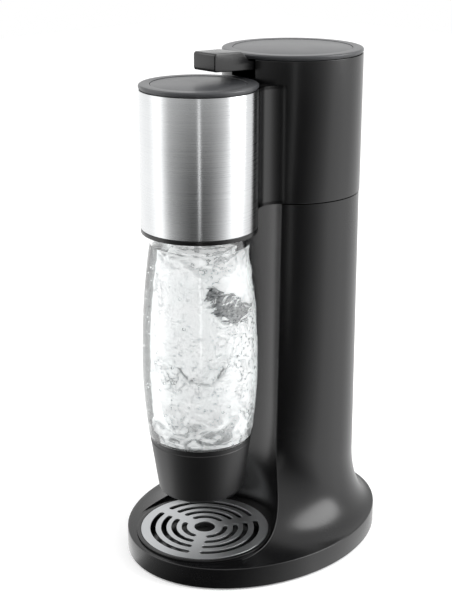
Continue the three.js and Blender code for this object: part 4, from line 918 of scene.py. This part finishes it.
# %% [markdown]
# Lever
#
# The lever is one moulding: a thumb pad at the tip, a ramp down to the arm, and a round boss
# on the pivot pin. Its side view is drawn once and given the lever's width, and a bevel
# rounds all its edges. Underneath it is hollow, with ribs, as every thick moulding is.

# %% Lever with ribs
PIVOT_Y = 0.0775
PIVOT_Z = 0.41
BOSS_RADIUS = 0.0065
LEVER_FRONT_Y = -0.0566
LEVER_TOP_Z = 0.4258
LEVER_UNDER_Z = 0.4116
PAD_END_Y = -0.0296
PAD_FALL = 0.0008
RAMP_FOOT_Y = -0.0166
RAMP_STEPS = 10
TIP_ROUND = 0.0024
LEVER_WALL = 0.0024
LEVER_EDGE = 0.0009
RIB_SHARES = [0, 0.16, 0.32, 0.5, 0.62]


def under_z(y):
    """Height of the lever's underside."""
    share = (PIVOT_Y - y) / (PIVOT_Y - LEVER_FRONT_Y)
    return PIVOT_Z - BOSS_RADIUS + share * (LEVER_UNDER_Z - PIVOT_Z + BOSS_RADIUS)


def across(name, outline, width):
    """A side view in (y, z), given a width along X."""
    return lofted(name, [[(x, y, z) for y, z in outline] for x in (-width / 2, width / 2)])


pad_z, arm_z = LEVER_TOP_Z - PAD_FALL, PIVOT_Z + BOSS_RADIUS
side_view = arc(PIVOT_Y, PIVOT_Z, BOSS_RADIUS, -RIGHT_ANGLE, RIGHT_ANGLE, 2 * CORNER_STEPS)
for i in range(RAMP_STEPS + 1):
    share = 1 - i / RAMP_STEPS
    ease = share * share * (3 - 2 * share)
    side_view.append((PAD_END_Y + share * (RAMP_FOOT_Y - PAD_END_Y), pad_z + ease * (arm_z - pad_z)))
tip_y = LEVER_FRONT_Y + TIP_ROUND
for z, start in ((LEVER_TOP_Z - TIP_ROUND, RIGHT_ANGLE), (LEVER_UNDER_Z + TIP_ROUND, math.pi)):
    side_view += arc(tip_y, z, TIP_ROUND, start, start + RIGHT_ANGLE, CORNER_STEPS)
lever_piece = across("press_lever_moulding", side_view, LEVER_WIDTH)
bevel(lever_piece, LEVER_EDGE, 3)
rib_ys = [LEVER_FRONT_Y + LEVER_WALL + share * (PIVOT_Y - LEVER_FRONT_Y) for share in RIB_SHARES]
for start, end in zip(rib_ys, rib_ys[1:]):
    end -= LEVER_WALL / 2
    roof_z = (pad_z if end < PAD_END_Y else arm_z) - LEVER_WALL
    low_start, low_end = under_z(start) - OVERRUN, under_z(end) - OVERRUN
    pocket = [(start, low_start), (end, low_end), (end, roof_z), (start, roof_z)]
    combine(lever_piece, across("pocket", pocket, LEVER_WIDTH - 2 * LEVER_WALL), "DIFFERENCE")
dress(lever_piece, "press_lever", "lever", black_abs)

# %% [markdown]
# Gas cylinder
#
# Behind the rear cover stands the gas cylinder, a drawn steel vessel with a round heel and a
# long shoulder, powder coated grey. Its wall is followed inwards too, up to the open neck
# that the valve is screwed into.

# %% Drawn steel cylinder
GAS_RADIUS = 0.03
GAS_WALL = 0.003
GAS_HEEL = 0.009
GAS_SHOULDER_HEIGHT = 0.042
GAS_NECK_RADIUS = 0.0125
GAS_NECK_HEIGHT = 0.01
GAS_BORE_RADIUS = 0.008
SHOULDER_STEPS = 16

gas_low, gas_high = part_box("gas_cylinder")
gas_y = (gas_low[1] + gas_high[1]) / 2
shoulder_z = gas_high[2] - GAS_NECK_HEIGHT - GAS_SHOULDER_HEIGHT


def gas_side(inset):
    """The cylinder's side from its heel to its neck, moved inwards."""
    heel_x, heel_z = GAS_RADIUS - GAS_HEEL, gas_low[2] + GAS_HEEL
    side = arc(heel_x, heel_z, GAS_HEEL - inset, -RIGHT_ANGLE, 0, SHOULDER_STEPS)
    spread, rise = GAS_RADIUS - GAS_NECK_RADIUS, GAS_SHOULDER_HEIGHT - inset
    return side + arc(GAS_NECK_RADIUS - inset, shoulder_z, spread, 0, RIGHT_ANGLE, SHOULDER_STEPS, rise)


vessel = [
    (0, gas_low[2]), *gas_side(0), (GAS_NECK_RADIUS, gas_high[2]), (GAS_BORE_RADIUS, gas_high[2]),
    *gas_side(GAS_WALL)[::-1], (0, gas_low[2] + GAS_WALL),
]
gas_piece = turned("drawn_gas_cylinder", soften(vessel, EDGE_ROUND), gas_y)
dress(gas_piece, "gas_bottle", "gas_cylinder", painted_steel)

# %% [markdown]
# Return spring
#
# A small coil spring lifts the push rod and the lever again. It is one wire that climbs evenly
# round the rod. When the lever goes down, the rod presses the spring together.

# %% Coil spring
SPRING_RADIUS = 0.0052
SPRING_WIRE_RADIUS = 0.0006
SPRING_TURNS = 7
SPRING_TURN_STEPS = 24

spring_low, spring_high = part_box("return_spring")
spring_bottom, spring_top = spring_low[2] + SPRING_WIRE_RADIUS, spring_high[2] - SPRING_WIRE_RADIUS
spring_y = (spring_low[1] + spring_high[1]) / 2
spring_steps = SPRING_TURNS * SPRING_TURN_STEPS
coil = arc(0, spring_y, SPRING_RADIUS, 0, FULL_TURN * SPRING_TURNS, spring_steps)
climb = (spring_top - spring_bottom) / spring_steps
helix = [(x, y, spring_bottom + climb * i) for i, (x, y) in enumerate(coil)]
spring_piece = wire("coil_spring", helix, SPRING_WIRE_RADIUS)
dress(spring_piece, "machine_frame", "return_spring", zinc_steel)
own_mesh(spring_piece)

# %% [markdown]
# Drip tray and grille
#
# The tray is a black dish. The grille that lies in it is stamped sheet steel with one round
# hole and four rings of curved slots between three spokes. A flat curve with holes is the
# quickest way to a stamped plate: it is filled, thickened and bevelled in one step.

# %% Tray
TRAY_RADIUS = 0.058
TRAY_TOP_Z = 0.0212
TRAY_FLANGE_HEIGHT = 0.003
TRAY_FLOOR_Z = 0.009
TRAY_DISH_RADIUS = 0.054
TRAY_DRAFT = 0.0025
TRAY_WALL = 0.002
GRILLE_RADIUS = 0.0546
GRILLE_THICKNESS = 0.0016
GRILLE_LEDGE = 0.0028

flange_z = TRAY_TOP_Z - TRAY_FLANGE_HEIGHT
dish_radius = TRAY_DISH_RADIUS - TRAY_DRAFT
seat_radius, seat_z = GRILLE_RADIUS + GAP, TRAY_TOP_Z - GRILLE_THICKNESS
dish_z = TRAY_FLOOR_Z + TRAY_WALL
tray_outline = [
    (0, TRAY_FLOOR_Z), (dish_radius, TRAY_FLOOR_Z), (TRAY_DISH_RADIUS, flange_z), (TRAY_RADIUS, flange_z),
    (TRAY_RADIUS, TRAY_TOP_Z), (seat_radius, TRAY_TOP_Z), (seat_radius, seat_z),
    (seat_radius - GRILLE_LEDGE, seat_z), (dish_radius - TRAY_WALL, dish_z), (0, dish_z),
]
tray_piece = turned("drip_tray_moulding", soften(tray_outline, EDGE_ROUND), TRAY_Y)
dress(tray_piece, "tray", "drip_tray", black_abs)

# %% Grille
GRILLE_BEVEL = 0.0002
HOLE_RADIUS = 0.0089
SLOT_RADII = [0.0176, 0.0265, 0.0352, 0.0445]
SLOT_WIDTH = 0.0045
SPOKE_WIDTH = 0.0086
SPOKE_COUNT = 3
SPOKE_TURN = math.radians(66)
SLOT_END_STEPS = 8


def slot_outline(radius, middle):
    """One curved slot: outer side, round end, inner side (a negative half width), round end."""
    half = math.pi / SPOKE_COUNT - math.asin((SPOKE_WIDTH + SLOT_WIDTH) / 2 / radius)
    outline = []
    outer = (middle - half, middle + half, SLOT_WIDTH / 2)
    inner = (middle + half, middle - half, -SLOT_WIDTH / 2)
    for start, stop, end in (outer, inner):
        outline += arc(0, TRAY_Y, radius + end, start, stop, ARC_STEPS)
        x, y = radius * math.cos(stop), TRAY_Y + radius * math.sin(stop)
        outline += arc(x, y, end, stop, stop + math.pi, SLOT_END_STEPS)[1:-1]
    return outline


plate = bpy.data.curves.new("grille plate", "CURVE")
plate.dimensions = "2D"
plate.fill_mode = "BOTH"
plate.extrude = GRILLE_THICKNESS / 2 - GRILLE_BEVEL
plate.bevel_depth = GRILLE_BEVEL
plate.offset = -GRILLE_BEVEL
outlines = [arc(0, TRAY_Y, GRILLE_RADIUS, 0, FULL_TURN, TURN_STEPS)[1:]]
outlines.append(arc(0, TRAY_Y, HOLE_RADIUS, 0, FULL_TURN, ARC_STEPS)[1:])
for radius in SLOT_RADII:
    for k in range(SPOKE_COUNT):
        outlines.append(slot_outline(radius, SPOKE_TURN + (k + 0.5) * FULL_TURN / SPOKE_COUNT))
for outline in outlines:
    line = plate.splines.new("POLY")
    line.points.add(len(outline) - 1)
    line.use_cyclic_u = True
    for point, (x, y) in zip(line.points, outline):
        point.co = (x, y, 0, 1)
stamped = placed("stamped plate", plate)
stamped.location.z = TRAY_TOP_Z - GRILLE_THICKNESS / 2 + GAP
grille_mesh = worked_out(stamped)
grille_mesh.transform(stamped.matrix_world)
bpy.data.objects.remove(stamped)
grille_piece = placed("stamped_grille", smooth(grille_mesh))
dress(grille_piece, "grille", "drip_grille", grille_steel)

# %% [markdown]
# Bottle and cup
#
# The bottle is PET, blown from a preform: a smooth belly, a round shoulder and a stiff neck.
# The wall is 2 mm thick. PET bends light more than water does, and a blown wall
# is never quite even, so a very shallow relief of some 20 mm makes the view through it swim.
# Only the last sliver of its outline is darkened with painted shade, where one looks along the
# wall. The lower end stands in a black cup.

# %% Clear PET and moving water
WALL_WAVE_SIZE = 0.02
WALL_WAVE_DEPTH = 0.0002
WATER_WAVE_SIZE = 0.01
WATER_IOR = 1.333
# Painted shade along the outline: it starts and is full at these facing values
EDGE_SHADE_FROM = 0.8
EDGE_SHADE_TO = 0.95


def clear_body(name, tint, painted_edge_shade, ior, roughness, wave_size, wave_depth):
    """A see-through body with a shallow wave in its skin, and painted shade along its outline."""
    made, tree = surface_of(name)
    place = add(tree, "TexCoord").outputs["Object"]
    wave = add(tree, "TexNoise", {"Vector": place, "Scale": 1 / wave_size, "Detail": 1})
    haze = add(tree, "MapRange", {"Value": wave, "To Min": roughness[0], "To Max": roughness[1]})
    # Painted shade: the colour turns to the outline's shade where one looks along the skin
    slant = add(tree, "LayerWeight").outputs["Facing"]
    edge = add(tree, "MapRange", {"Value": slant, "From Min": EDGE_SHADE_FROM, "From Max": EDGE_SHADE_TO})
    skin = add(tree, "Mix", {"Factor": wave, "A": colour("#ffffff"), "B": colour(tint)}, data_type="RGBA")
    tone = add(tree, "Mix", {"Factor": edge, "A": skin, "B": colour(painted_edge_shade)}, data_type="RGBA")
    relief = add(tree, "Bump", {"Distance": wave_depth, "Height": wave})
    shader = add(tree, "BsdfPrincipled", {
        "Base Color": tone, "Roughness": haze, "IOR": ior,
        "Transmission Weight": 1.0, "Normal": relief,
    })
    add(tree, "OutputMaterial", {"Surface": shader})
    return made


# Name, tint, colour of the painted shade at the outline, refraction, range of haze, size and depth of the
# wave
clear_pet = clear_body(
    "PET, blown clear", "#f7fafa", "#474b4d", 1.575, (0.0, 0.03), WALL_WAVE_SIZE, WALL_WAVE_DEPTH
)
water = clear_body(
    "water, moving", "#f8fbfb", "#e8eeee", WATER_IOR, (0.0, 0.01), WATER_WAVE_SIZE, WALL_WAVE_DEPTH
)
print("clear materials:", clear_pet.name, "and", water.name)

# %% Bottle
BOTTLE_WALL = 0.002
CUP_BOTTOM_Z = 0.0626
CUP_TOP_Z = 0.1127
CUP_WALL = 0.0024
CUP_FOOT_RADIUS = 0.0356
CUP_TOP_RADIUS = 0.0424
CUP_ROUND = 0.004
CUP_LIP_HEIGHT = 0.005
CUP_LIP_STEP = 0.0005
SHELF_Z = CUP_TOP_Z + GAP
BOTTLE_BOTTOM_Z = CUP_BOTTOM_Z + CUP_WALL + GAP
BOTTLE_TOP_Z = 0.326
WAIST_RADIUS = 0.043
BELLY_RADIUS = 0.0474
SHOULDER_RADIUS = 0.0392
CROWN_RADIUS = 0.03
NECK_OUTER_RADIUS = 0.0174
BELLY_SHARE = 0.315
SHOULDER_SHARE = 0.784
CROWN_SHARE = 0.883
NECK_SHARE = 0.92
BULGE_SHARE = 0.75
BOTTLE_FOOT_RADIUS = 0.0316
PUSH_UP = 0.005
SIDE_STEPS = 72


def bottle_z(share):
    """Height at a share of the way from the cup's lip to the mouth."""
    return SHELF_Z + share * (BOTTLE_TOP_Z - SHELF_Z)


def smooth_curve(points, steps):
    """An even curve through all its points."""
    result = []
    for step in range(steps + 1):
        place = (len(points) - 1) * step / steps
        i = min(int(place), len(points) - 2)
        t = place - i
        # The curve runs from b to c; a and d are their neighbours
        a, b, c, d = [Vector(points[max(0, min(len(points) - 1, i + k))]) for k in (-1, 0, 1, 2)]
        leave, arrive = (c - a) / 2, (d - b) / 2
        curve = b + leave * t + (3 * (c - b) - 2 * leave - arrive) * t ** 2
        result.append(curve + (2 * (b - c) + leave + arrive) * t ** 3)
    return result


def bulge(radius):
    """Radius half way to the belly."""
    return radius + BULGE_SHARE * (BELLY_RADIUS - radius)


def bottle_side(inset):
    """The bottle's side from the cup's lip to the neck, moved inwards."""
    through = [
        (WAIST_RADIUS, SHELF_Z),
        (bulge(WAIST_RADIUS), bottle_z(BELLY_SHARE / 2)),
        (BELLY_RADIUS, bottle_z(BELLY_SHARE)),
        (bulge(SHOULDER_RADIUS), bottle_z((BELLY_SHARE + SHOULDER_SHARE) / 2)),
        (SHOULDER_RADIUS, bottle_z(SHOULDER_SHARE)),
        (CROWN_RADIUS, bottle_z(CROWN_SHARE)),
        (NECK_OUTER_RADIUS, bottle_z(NECK_SHARE)),
    ]
    return [(point.x - inset, point.y) for point in smooth_curve(through, SIDE_STEPS)]


def cup_radius(z):
    """Outer radius of the tapered cup at a height."""
    share = (z - CUP_BOTTOM_Z) / (CUP_TOP_Z - CUP_BOTTOM_Z)
    return CUP_FOOT_RADIUS + share * (CUP_TOP_RADIUS - CUP_FOOT_RADIUS)


step_radius = cup_radius(SHELF_Z) - CUP_WALL - CUP_LIP_STEP - GAP
heel_z = BOTTLE_BOTTOM_Z + CUP_ROUND
outer_side = [
    (0, BOTTLE_BOTTOM_Z + PUSH_UP), (BOTTLE_FOOT_RADIUS - CUP_ROUND, BOTTLE_BOTTOM_Z),
    (BOTTLE_FOOT_RADIUS, heel_z), (step_radius, SHELF_Z), *bottle_side(0), (NECK_OUTER_RADIUS, BOTTLE_TOP_Z),
]
inner_side = [
    (NECK_OUTER_RADIUS - BOTTLE_WALL, BOTTLE_TOP_Z), *bottle_side(BOTTLE_WALL)[::-1],
    (step_radius - BOTTLE_WALL, SHELF_Z), (BOTTLE_FOOT_RADIUS - BOTTLE_WALL, heel_z + BOTTLE_WALL),
    (0, BOTTLE_BOTTOM_Z + PUSH_UP + BOTTLE_WALL),
]
bottle_piece = turned("blown_bottle", soften(outer_side + inner_side, EDGE_ROUND), HEAD_Y)
dress(bottle_piece, "water_bottle", "bottle", clear_pet)

# %% Cup
lip_z = CUP_TOP_Z - CUP_LIP_HEIGHT
floor_z = CUP_BOTTOM_Z + CUP_WALL
heel_x = CUP_FOOT_RADIUS - CUP_ROUND
cup_outline = [(0, CUP_BOTTOM_Z)]
cup_outline += arc(heel_x, CUP_BOTTOM_Z + CUP_ROUND, CUP_ROUND, -RIGHT_ANGLE, 0, CORNER_STEPS)
cup_outline += [
    (cup_radius(lip_z), lip_z), (cup_radius(lip_z) - CUP_LIP_STEP, lip_z + CUP_LIP_STEP),
    (cup_radius(CUP_TOP_Z) - CUP_LIP_STEP, CUP_TOP_Z), (cup_radius(CUP_TOP_Z) - CUP_WALL, CUP_TOP_Z),
    (cup_radius(floor_z) - CUP_WALL, floor_z), (0, floor_z),
]
cup_piece = turned("bottle_cup_moulding", soften(cup_outline, EDGE_ROUND / 2), HEAD_Y)
dress(cup_piece, "water_bottle", "bottle_cup", satin_abs)

# %% [markdown]
# Water, froth and bubbles
#
# Gas has just been let in. The water is a turned body that reaches a hair into the PET, so
# that no film of air is left between them. Its top is uneven. Inside it hangs a cloud of
# froth, wider at its foot and shifted to the right as seen from the camera. It is bright,
# and a little light of its own stands for the light that its bubbles pass on. Its dark marks
# are thin folds, one torn crest, an arc, a patch of specks and its stirred ends. Single
# bubbles drift in front of it: air in water, so each is a small ball that faces inwards.

# %% Water
WATER_LEVEL = 0.276
WATER_OVERLAP = 0.00015
RIPPLE_HEIGHT = 0.0018
RIPPLE_SIZE = 0.022
TOP_RINGS = 10

inside_profile = [
    (0, BOTTLE_BOTTOM_Z + PUSH_UP + BOTTLE_WALL), (BOTTLE_FOOT_RADIUS - BOTTLE_WALL, heel_z + BOTTLE_WALL),
    (step_radius - BOTTLE_WALL, SHELF_Z),
]
inside_profile += [point for point in bottle_side(BOTTLE_WALL) if point[1] > SHELF_Z]
wet = [(radius + WATER_OVERLAP if radius > 0 else 0, z) for radius, z in inside_profile if z < WATER_LEVEL]
top_radius = wet[-1][0]
top_rings = [(top_radius * (1 - i / TOP_RINGS), WATER_LEVEL) for i in range(TOP_RINGS + 1)]
water_piece = turned("moving_water", wet + top_rings, HEAD_Y)
for point in water_piece.data.vertices:
    if point.co.z > WATER_LEVEL - SAME_POINT:
        spot = Vector((point.co.x, point.co.y, 0)) / RIPPLE_SIZE
        point.co.z += RIPPLE_HEIGHT * noise.noise(spot)
water_piece.data.materials.append(water)
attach(water_piece, "water_bottle")
print("water up to", WATER_LEVEL, "m")

# %% Froth
FROTH_SHARE = 0.66
FROTH_FOOT_SHARE = 0.72
FROTH_FOOT_HEIGHT = 0.03
FROTH_SHIFT = 0.0024
FROTH_TOP_Z = 0.272
FROTH_LUMP = 0.0025
FROTH_LUMP_SIZE = 0.016
FROTH_GLOW = 0.62
FROTH_GLOSS = (0.15, 0.4)
FROTH_RELIEF = 0.001
FOLD_SIZE = 0.02
FOLD_ROUGHNESS = 0.6
FOLD_CURL = 2.2
FOLD_WIDTH = 0.035
FOLD_SQUASH = 1.6
MID_GREY = 0.5
SPECK_SIZE = 0.0028
VEIL = (0.35, 0.65)
VEIL_SHARE = 0.72
STIR_LOW = (0.118, 0.15)
STIR_HIGH = (0.27, 0.255)
STIR_STRENGTH = 0.8
ARC_WIDTH = 0.13
EGG_EDGE = 0.8
FACING = math.radians(46)
# Egg shapes that hold a mark: centre, half sizes, lean in degrees, how far the skin waves
CREST = {"centre": (0.0255, -0.061, 0.231), "size": (0.023, 0.035, 0.0095), "lean": 48, "sway": 2.4}
ARC = {"centre": (0.02, -0.081, 0.192), "size": (0.02, 0.03, 0.024), "lean": -20, "sway": 0.7}
SPECKS = {"centre": (0.031, -0.047, 0.188), "size": (0.009, 0.03, 0.05), "lean": 0, "sway": 3}
# Masks: the pattern that each is made from, and the levels where it starts and is full
FROTH_MASKS = {
    "patches": ("cloud", 0.5, 0.62), "torn": ("swirl", 0.42, 0.6), "whole": ("swirl", 0.32, 0.4),
    "blots": ("fine", 0.56, 0.63), "mottle": ("fine", 0.5, 0.72),
}


def reach(tree, place, wave, centre, size, lean, sway):
    """How far a point lies from the middle of an egg shape, whose wavy skin is at 1."""
    moved = add(tree, "Mapping", {
        "Vector": place, "Location": centre, "Rotation": (0, math.radians(lean), FACING), "Scale": size,
    }, vector_type="TEXTURE")
    away = add(tree, "VectorMath", {0: moved}, operation="LENGTH")
    return add(tree, "Math", {0: wave, 1: sway, 2: away}, operation="MULTIPLY_ADD")


def near(tree, away):
    """1 in the egg shape, and 0 outside it."""
    return add(tree, "MapRange", {
        "Value": away, "From Min": EGG_EDGE, "From Max": 1, "To Min": 1, "To Max": 0,
    })


def thin_line(tree, value, middle, width):
    """1 where a value is at its middle, and 0 from a small width off it."""
    off = add(tree, "Math", {0: value, 1: middle}, operation="SUBTRACT")
    away = add(tree, "Math", {0: off}, operation="ABSOLUTE")
    return add(tree, "MapRange", {"Value": away, "From Max": width, "To Min": 1, "To Max": 0})


def product(tree, first, second):
    """Two masks at once."""
    return add(tree, "Math", {0: first, 1: second}, operation="MULTIPLY")


def froth_skin():
    """Bright froth with thin dark folds, one torn crest, an arc, specks and stirred ends."""
    made, tree = surface_of("froth, gas bubbles in water")
    place = add(tree, "TexCoord").outputs["Object"]
    height = add(tree, "SeparateXYZ", {"Vector": place}).outputs["Z"]
    flat = add(tree, "VectorMath", {0: place, 1: (1, 1, FOLD_SQUASH)}, operation="MULTIPLY")
    swirl = add(tree, "TexNoise", {
        "Vector": flat, "Scale": 1 / FOLD_SIZE, "Detail": 7,
        "Roughness": FOLD_ROUGHNESS, "Distortion": FOLD_CURL,
    })
    cloud = add(tree, "TexNoise", {"Vector": place, "Scale": 1 / CLOUD_SIZE, "Detail": 2})
    fine = add(tree, "TexNoise", {"Vector": flat, "Scale": 1 / SPECK_SIZE, "Detail": 3})
    patterns = {"swirl": swirl, "cloud": cloud, "fine": fine}
    mask = {}
    for name, (pattern, start, full) in FROTH_MASKS.items():
        mask[name] = add(tree, "MapRange", {"Value": patterns[pattern], "From Min": start, "From Max": full})
    wave = add(tree, "Math", {0: swirl, 1: MID_GREY}, operation="SUBTRACT")
    crest, speck_zone = [near(tree, reach(tree, place, wave, **egg)) for egg in (CREST, SPECKS)]
    line = thin_line(tree, reach(tree, place, wave, **ARC), 1, ARC_WIDTH)
    arc_z, arc_height = ARC["centre"][2], ARC["size"][2]
    below = add(tree, "MapRange", {
        "Value": height, "From Min": arc_z - arc_height / 2, "From Max": arc_z, "To Min": 1, "To Max": 0,
    })
    ends = [add(tree, "MapRange", {
        "Value": height, "From Min": full, "From Max": gone, "To Min": STIR_STRENGTH, "To Max": 0,
    }) for full, gone in (STIR_LOW, STIR_HIGH)]
    stir = add(tree, "Math", {0: ends[0], 1: ends[1]}, operation="MAXIMUM")
    marks = [
        product(tree, crest, mask["whole"]), product(tree, product(tree, line, below), mask["torn"]),
        product(tree, mask["blots"], speck_zone), product(tree, stir, mask["torn"]),
    ]
    dark = product(tree, thin_line(tree, swirl, MID_GREY, FOLD_WIDTH), mask["patches"])
    for mark in marks:
        dark = add(tree, "Math", {0: dark, 1: mark}, operation="MAXIMUM")
    veil = add(tree, "MapRange", {
        "Value": fine, "From Min": VEIL[0], "From Max": VEIL[1], "To Min": 1, "To Max": VEIL_SHARE,
    })
    shade = product(tree, dark, veil)
    uneven = product(tree, mask["mottle"], mask["torn"])
    foam = add(tree, "Mix", {"Factor": uneven, "A": WHITE, "B": colour("#9fa5a8")}, data_type="RGBA")
    tint = add(tree, "Mix", {"Factor": shade, "A": foam, "B": colour("#2c3033")}, data_type="RGBA")
    relief = add(tree, "Bump", {"Distance": FROTH_RELIEF, "Height": swirl})
    gloss = add(tree, "MapRange", {"Value": swirl, "To Min": FROTH_GLOSS[0], "To Max": FROTH_GLOSS[1]})
    shader = add(tree, "BsdfPrincipled", {
        "Base Color": tint, "Roughness": gloss, "IOR": WATER_IOR, "Normal": relief,
        "Emission Color": tint, "Emission Strength": FROTH_GLOW,
    })
    add(tree, "OutputMaterial", {"Surface": shader})
    return made


def froth_share(z):
    """Share of the bottle's inside that the froth fills; it spreads over the foot."""
    low = max(0, 1 - (z - SHELF_Z) / FROTH_FOOT_HEIGHT)
    return FROTH_SHARE + (FROTH_FOOT_SHARE - FROTH_SHARE) * min(1, low)


froth_profile = [(radius * froth_share(z), z) for radius, z in inside_profile if z < FROTH_TOP_Z]
froth_top = [(froth_profile[-1][0] * (1 - i / TOP_RINGS), FROTH_TOP_Z) for i in range(1, TOP_RINGS + 1)]
froth_piece = turned("froth_cloud", froth_profile + froth_top, HEAD_Y)
sideways = Vector((math.cos(FACING), math.sin(FACING), 0))
for point in froth_piece.data.vertices:
    out = Vector((point.co.x, point.co.y - HEAD_Y, 0))
    lump = noise.fractal(point.co / FROTH_LUMP_SIZE, 1, 2, 4)
    if out.length > 0:
        point.co += out.normalized() * FROTH_LUMP * lump
    point.co.z += FROTH_LUMP * lump
    point.co += FROTH_SHIFT * sideways
froth_piece.data.materials.append(froth_skin())
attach(froth_piece, "water_bottle")
print("froth up to", FROTH_TOP_Z, "m")

# %% Bubbles
BUBBLE_COUNT = 320
BUBBLE_RADII = (0.0004, 0.0015)
SEED = 11

chance = random.Random(SEED)
balls = bmesh.new()
side_points = [point for point in inside_profile if SHELF_Z < point[1] < FROTH_TOP_Z]
for _ in range(BUBBLE_COUNT):
    radius, z = chance.choice(side_points)
    size = BUBBLE_RADII[0] + (BUBBLE_RADII[1] - BUBBLE_RADII[0]) * chance.random() ** 3
    turn = chance.uniform(0, FULL_TURN)
    away = radius * chance.uniform(FROTH_SHARE, 1) - size
    ball = bmesh.ops.create_icosphere(balls, subdivisions=2, radius=size)
    centre = Vector((away * math.cos(turn), HEAD_Y + away * math.sin(turn), z))
    bmesh.ops.translate(balls, verts=ball["verts"], vec=centre)
bmesh.ops.reverse_faces(balls, faces=balls.faces)
bubble_mesh = bpy.data.meshes.new("rising_bubbles")
balls.to_mesh(bubble_mesh)
balls.free()
bubble_mesh.shade_smooth()
bubble_mesh.materials.append(water)
bubbles = placed("rising_bubbles", bubble_mesh)
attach(bubbles, "water_bottle")
print("bubbles:", BUBBLE_COUNT)

# %% End of the scene
print("all pieces built")
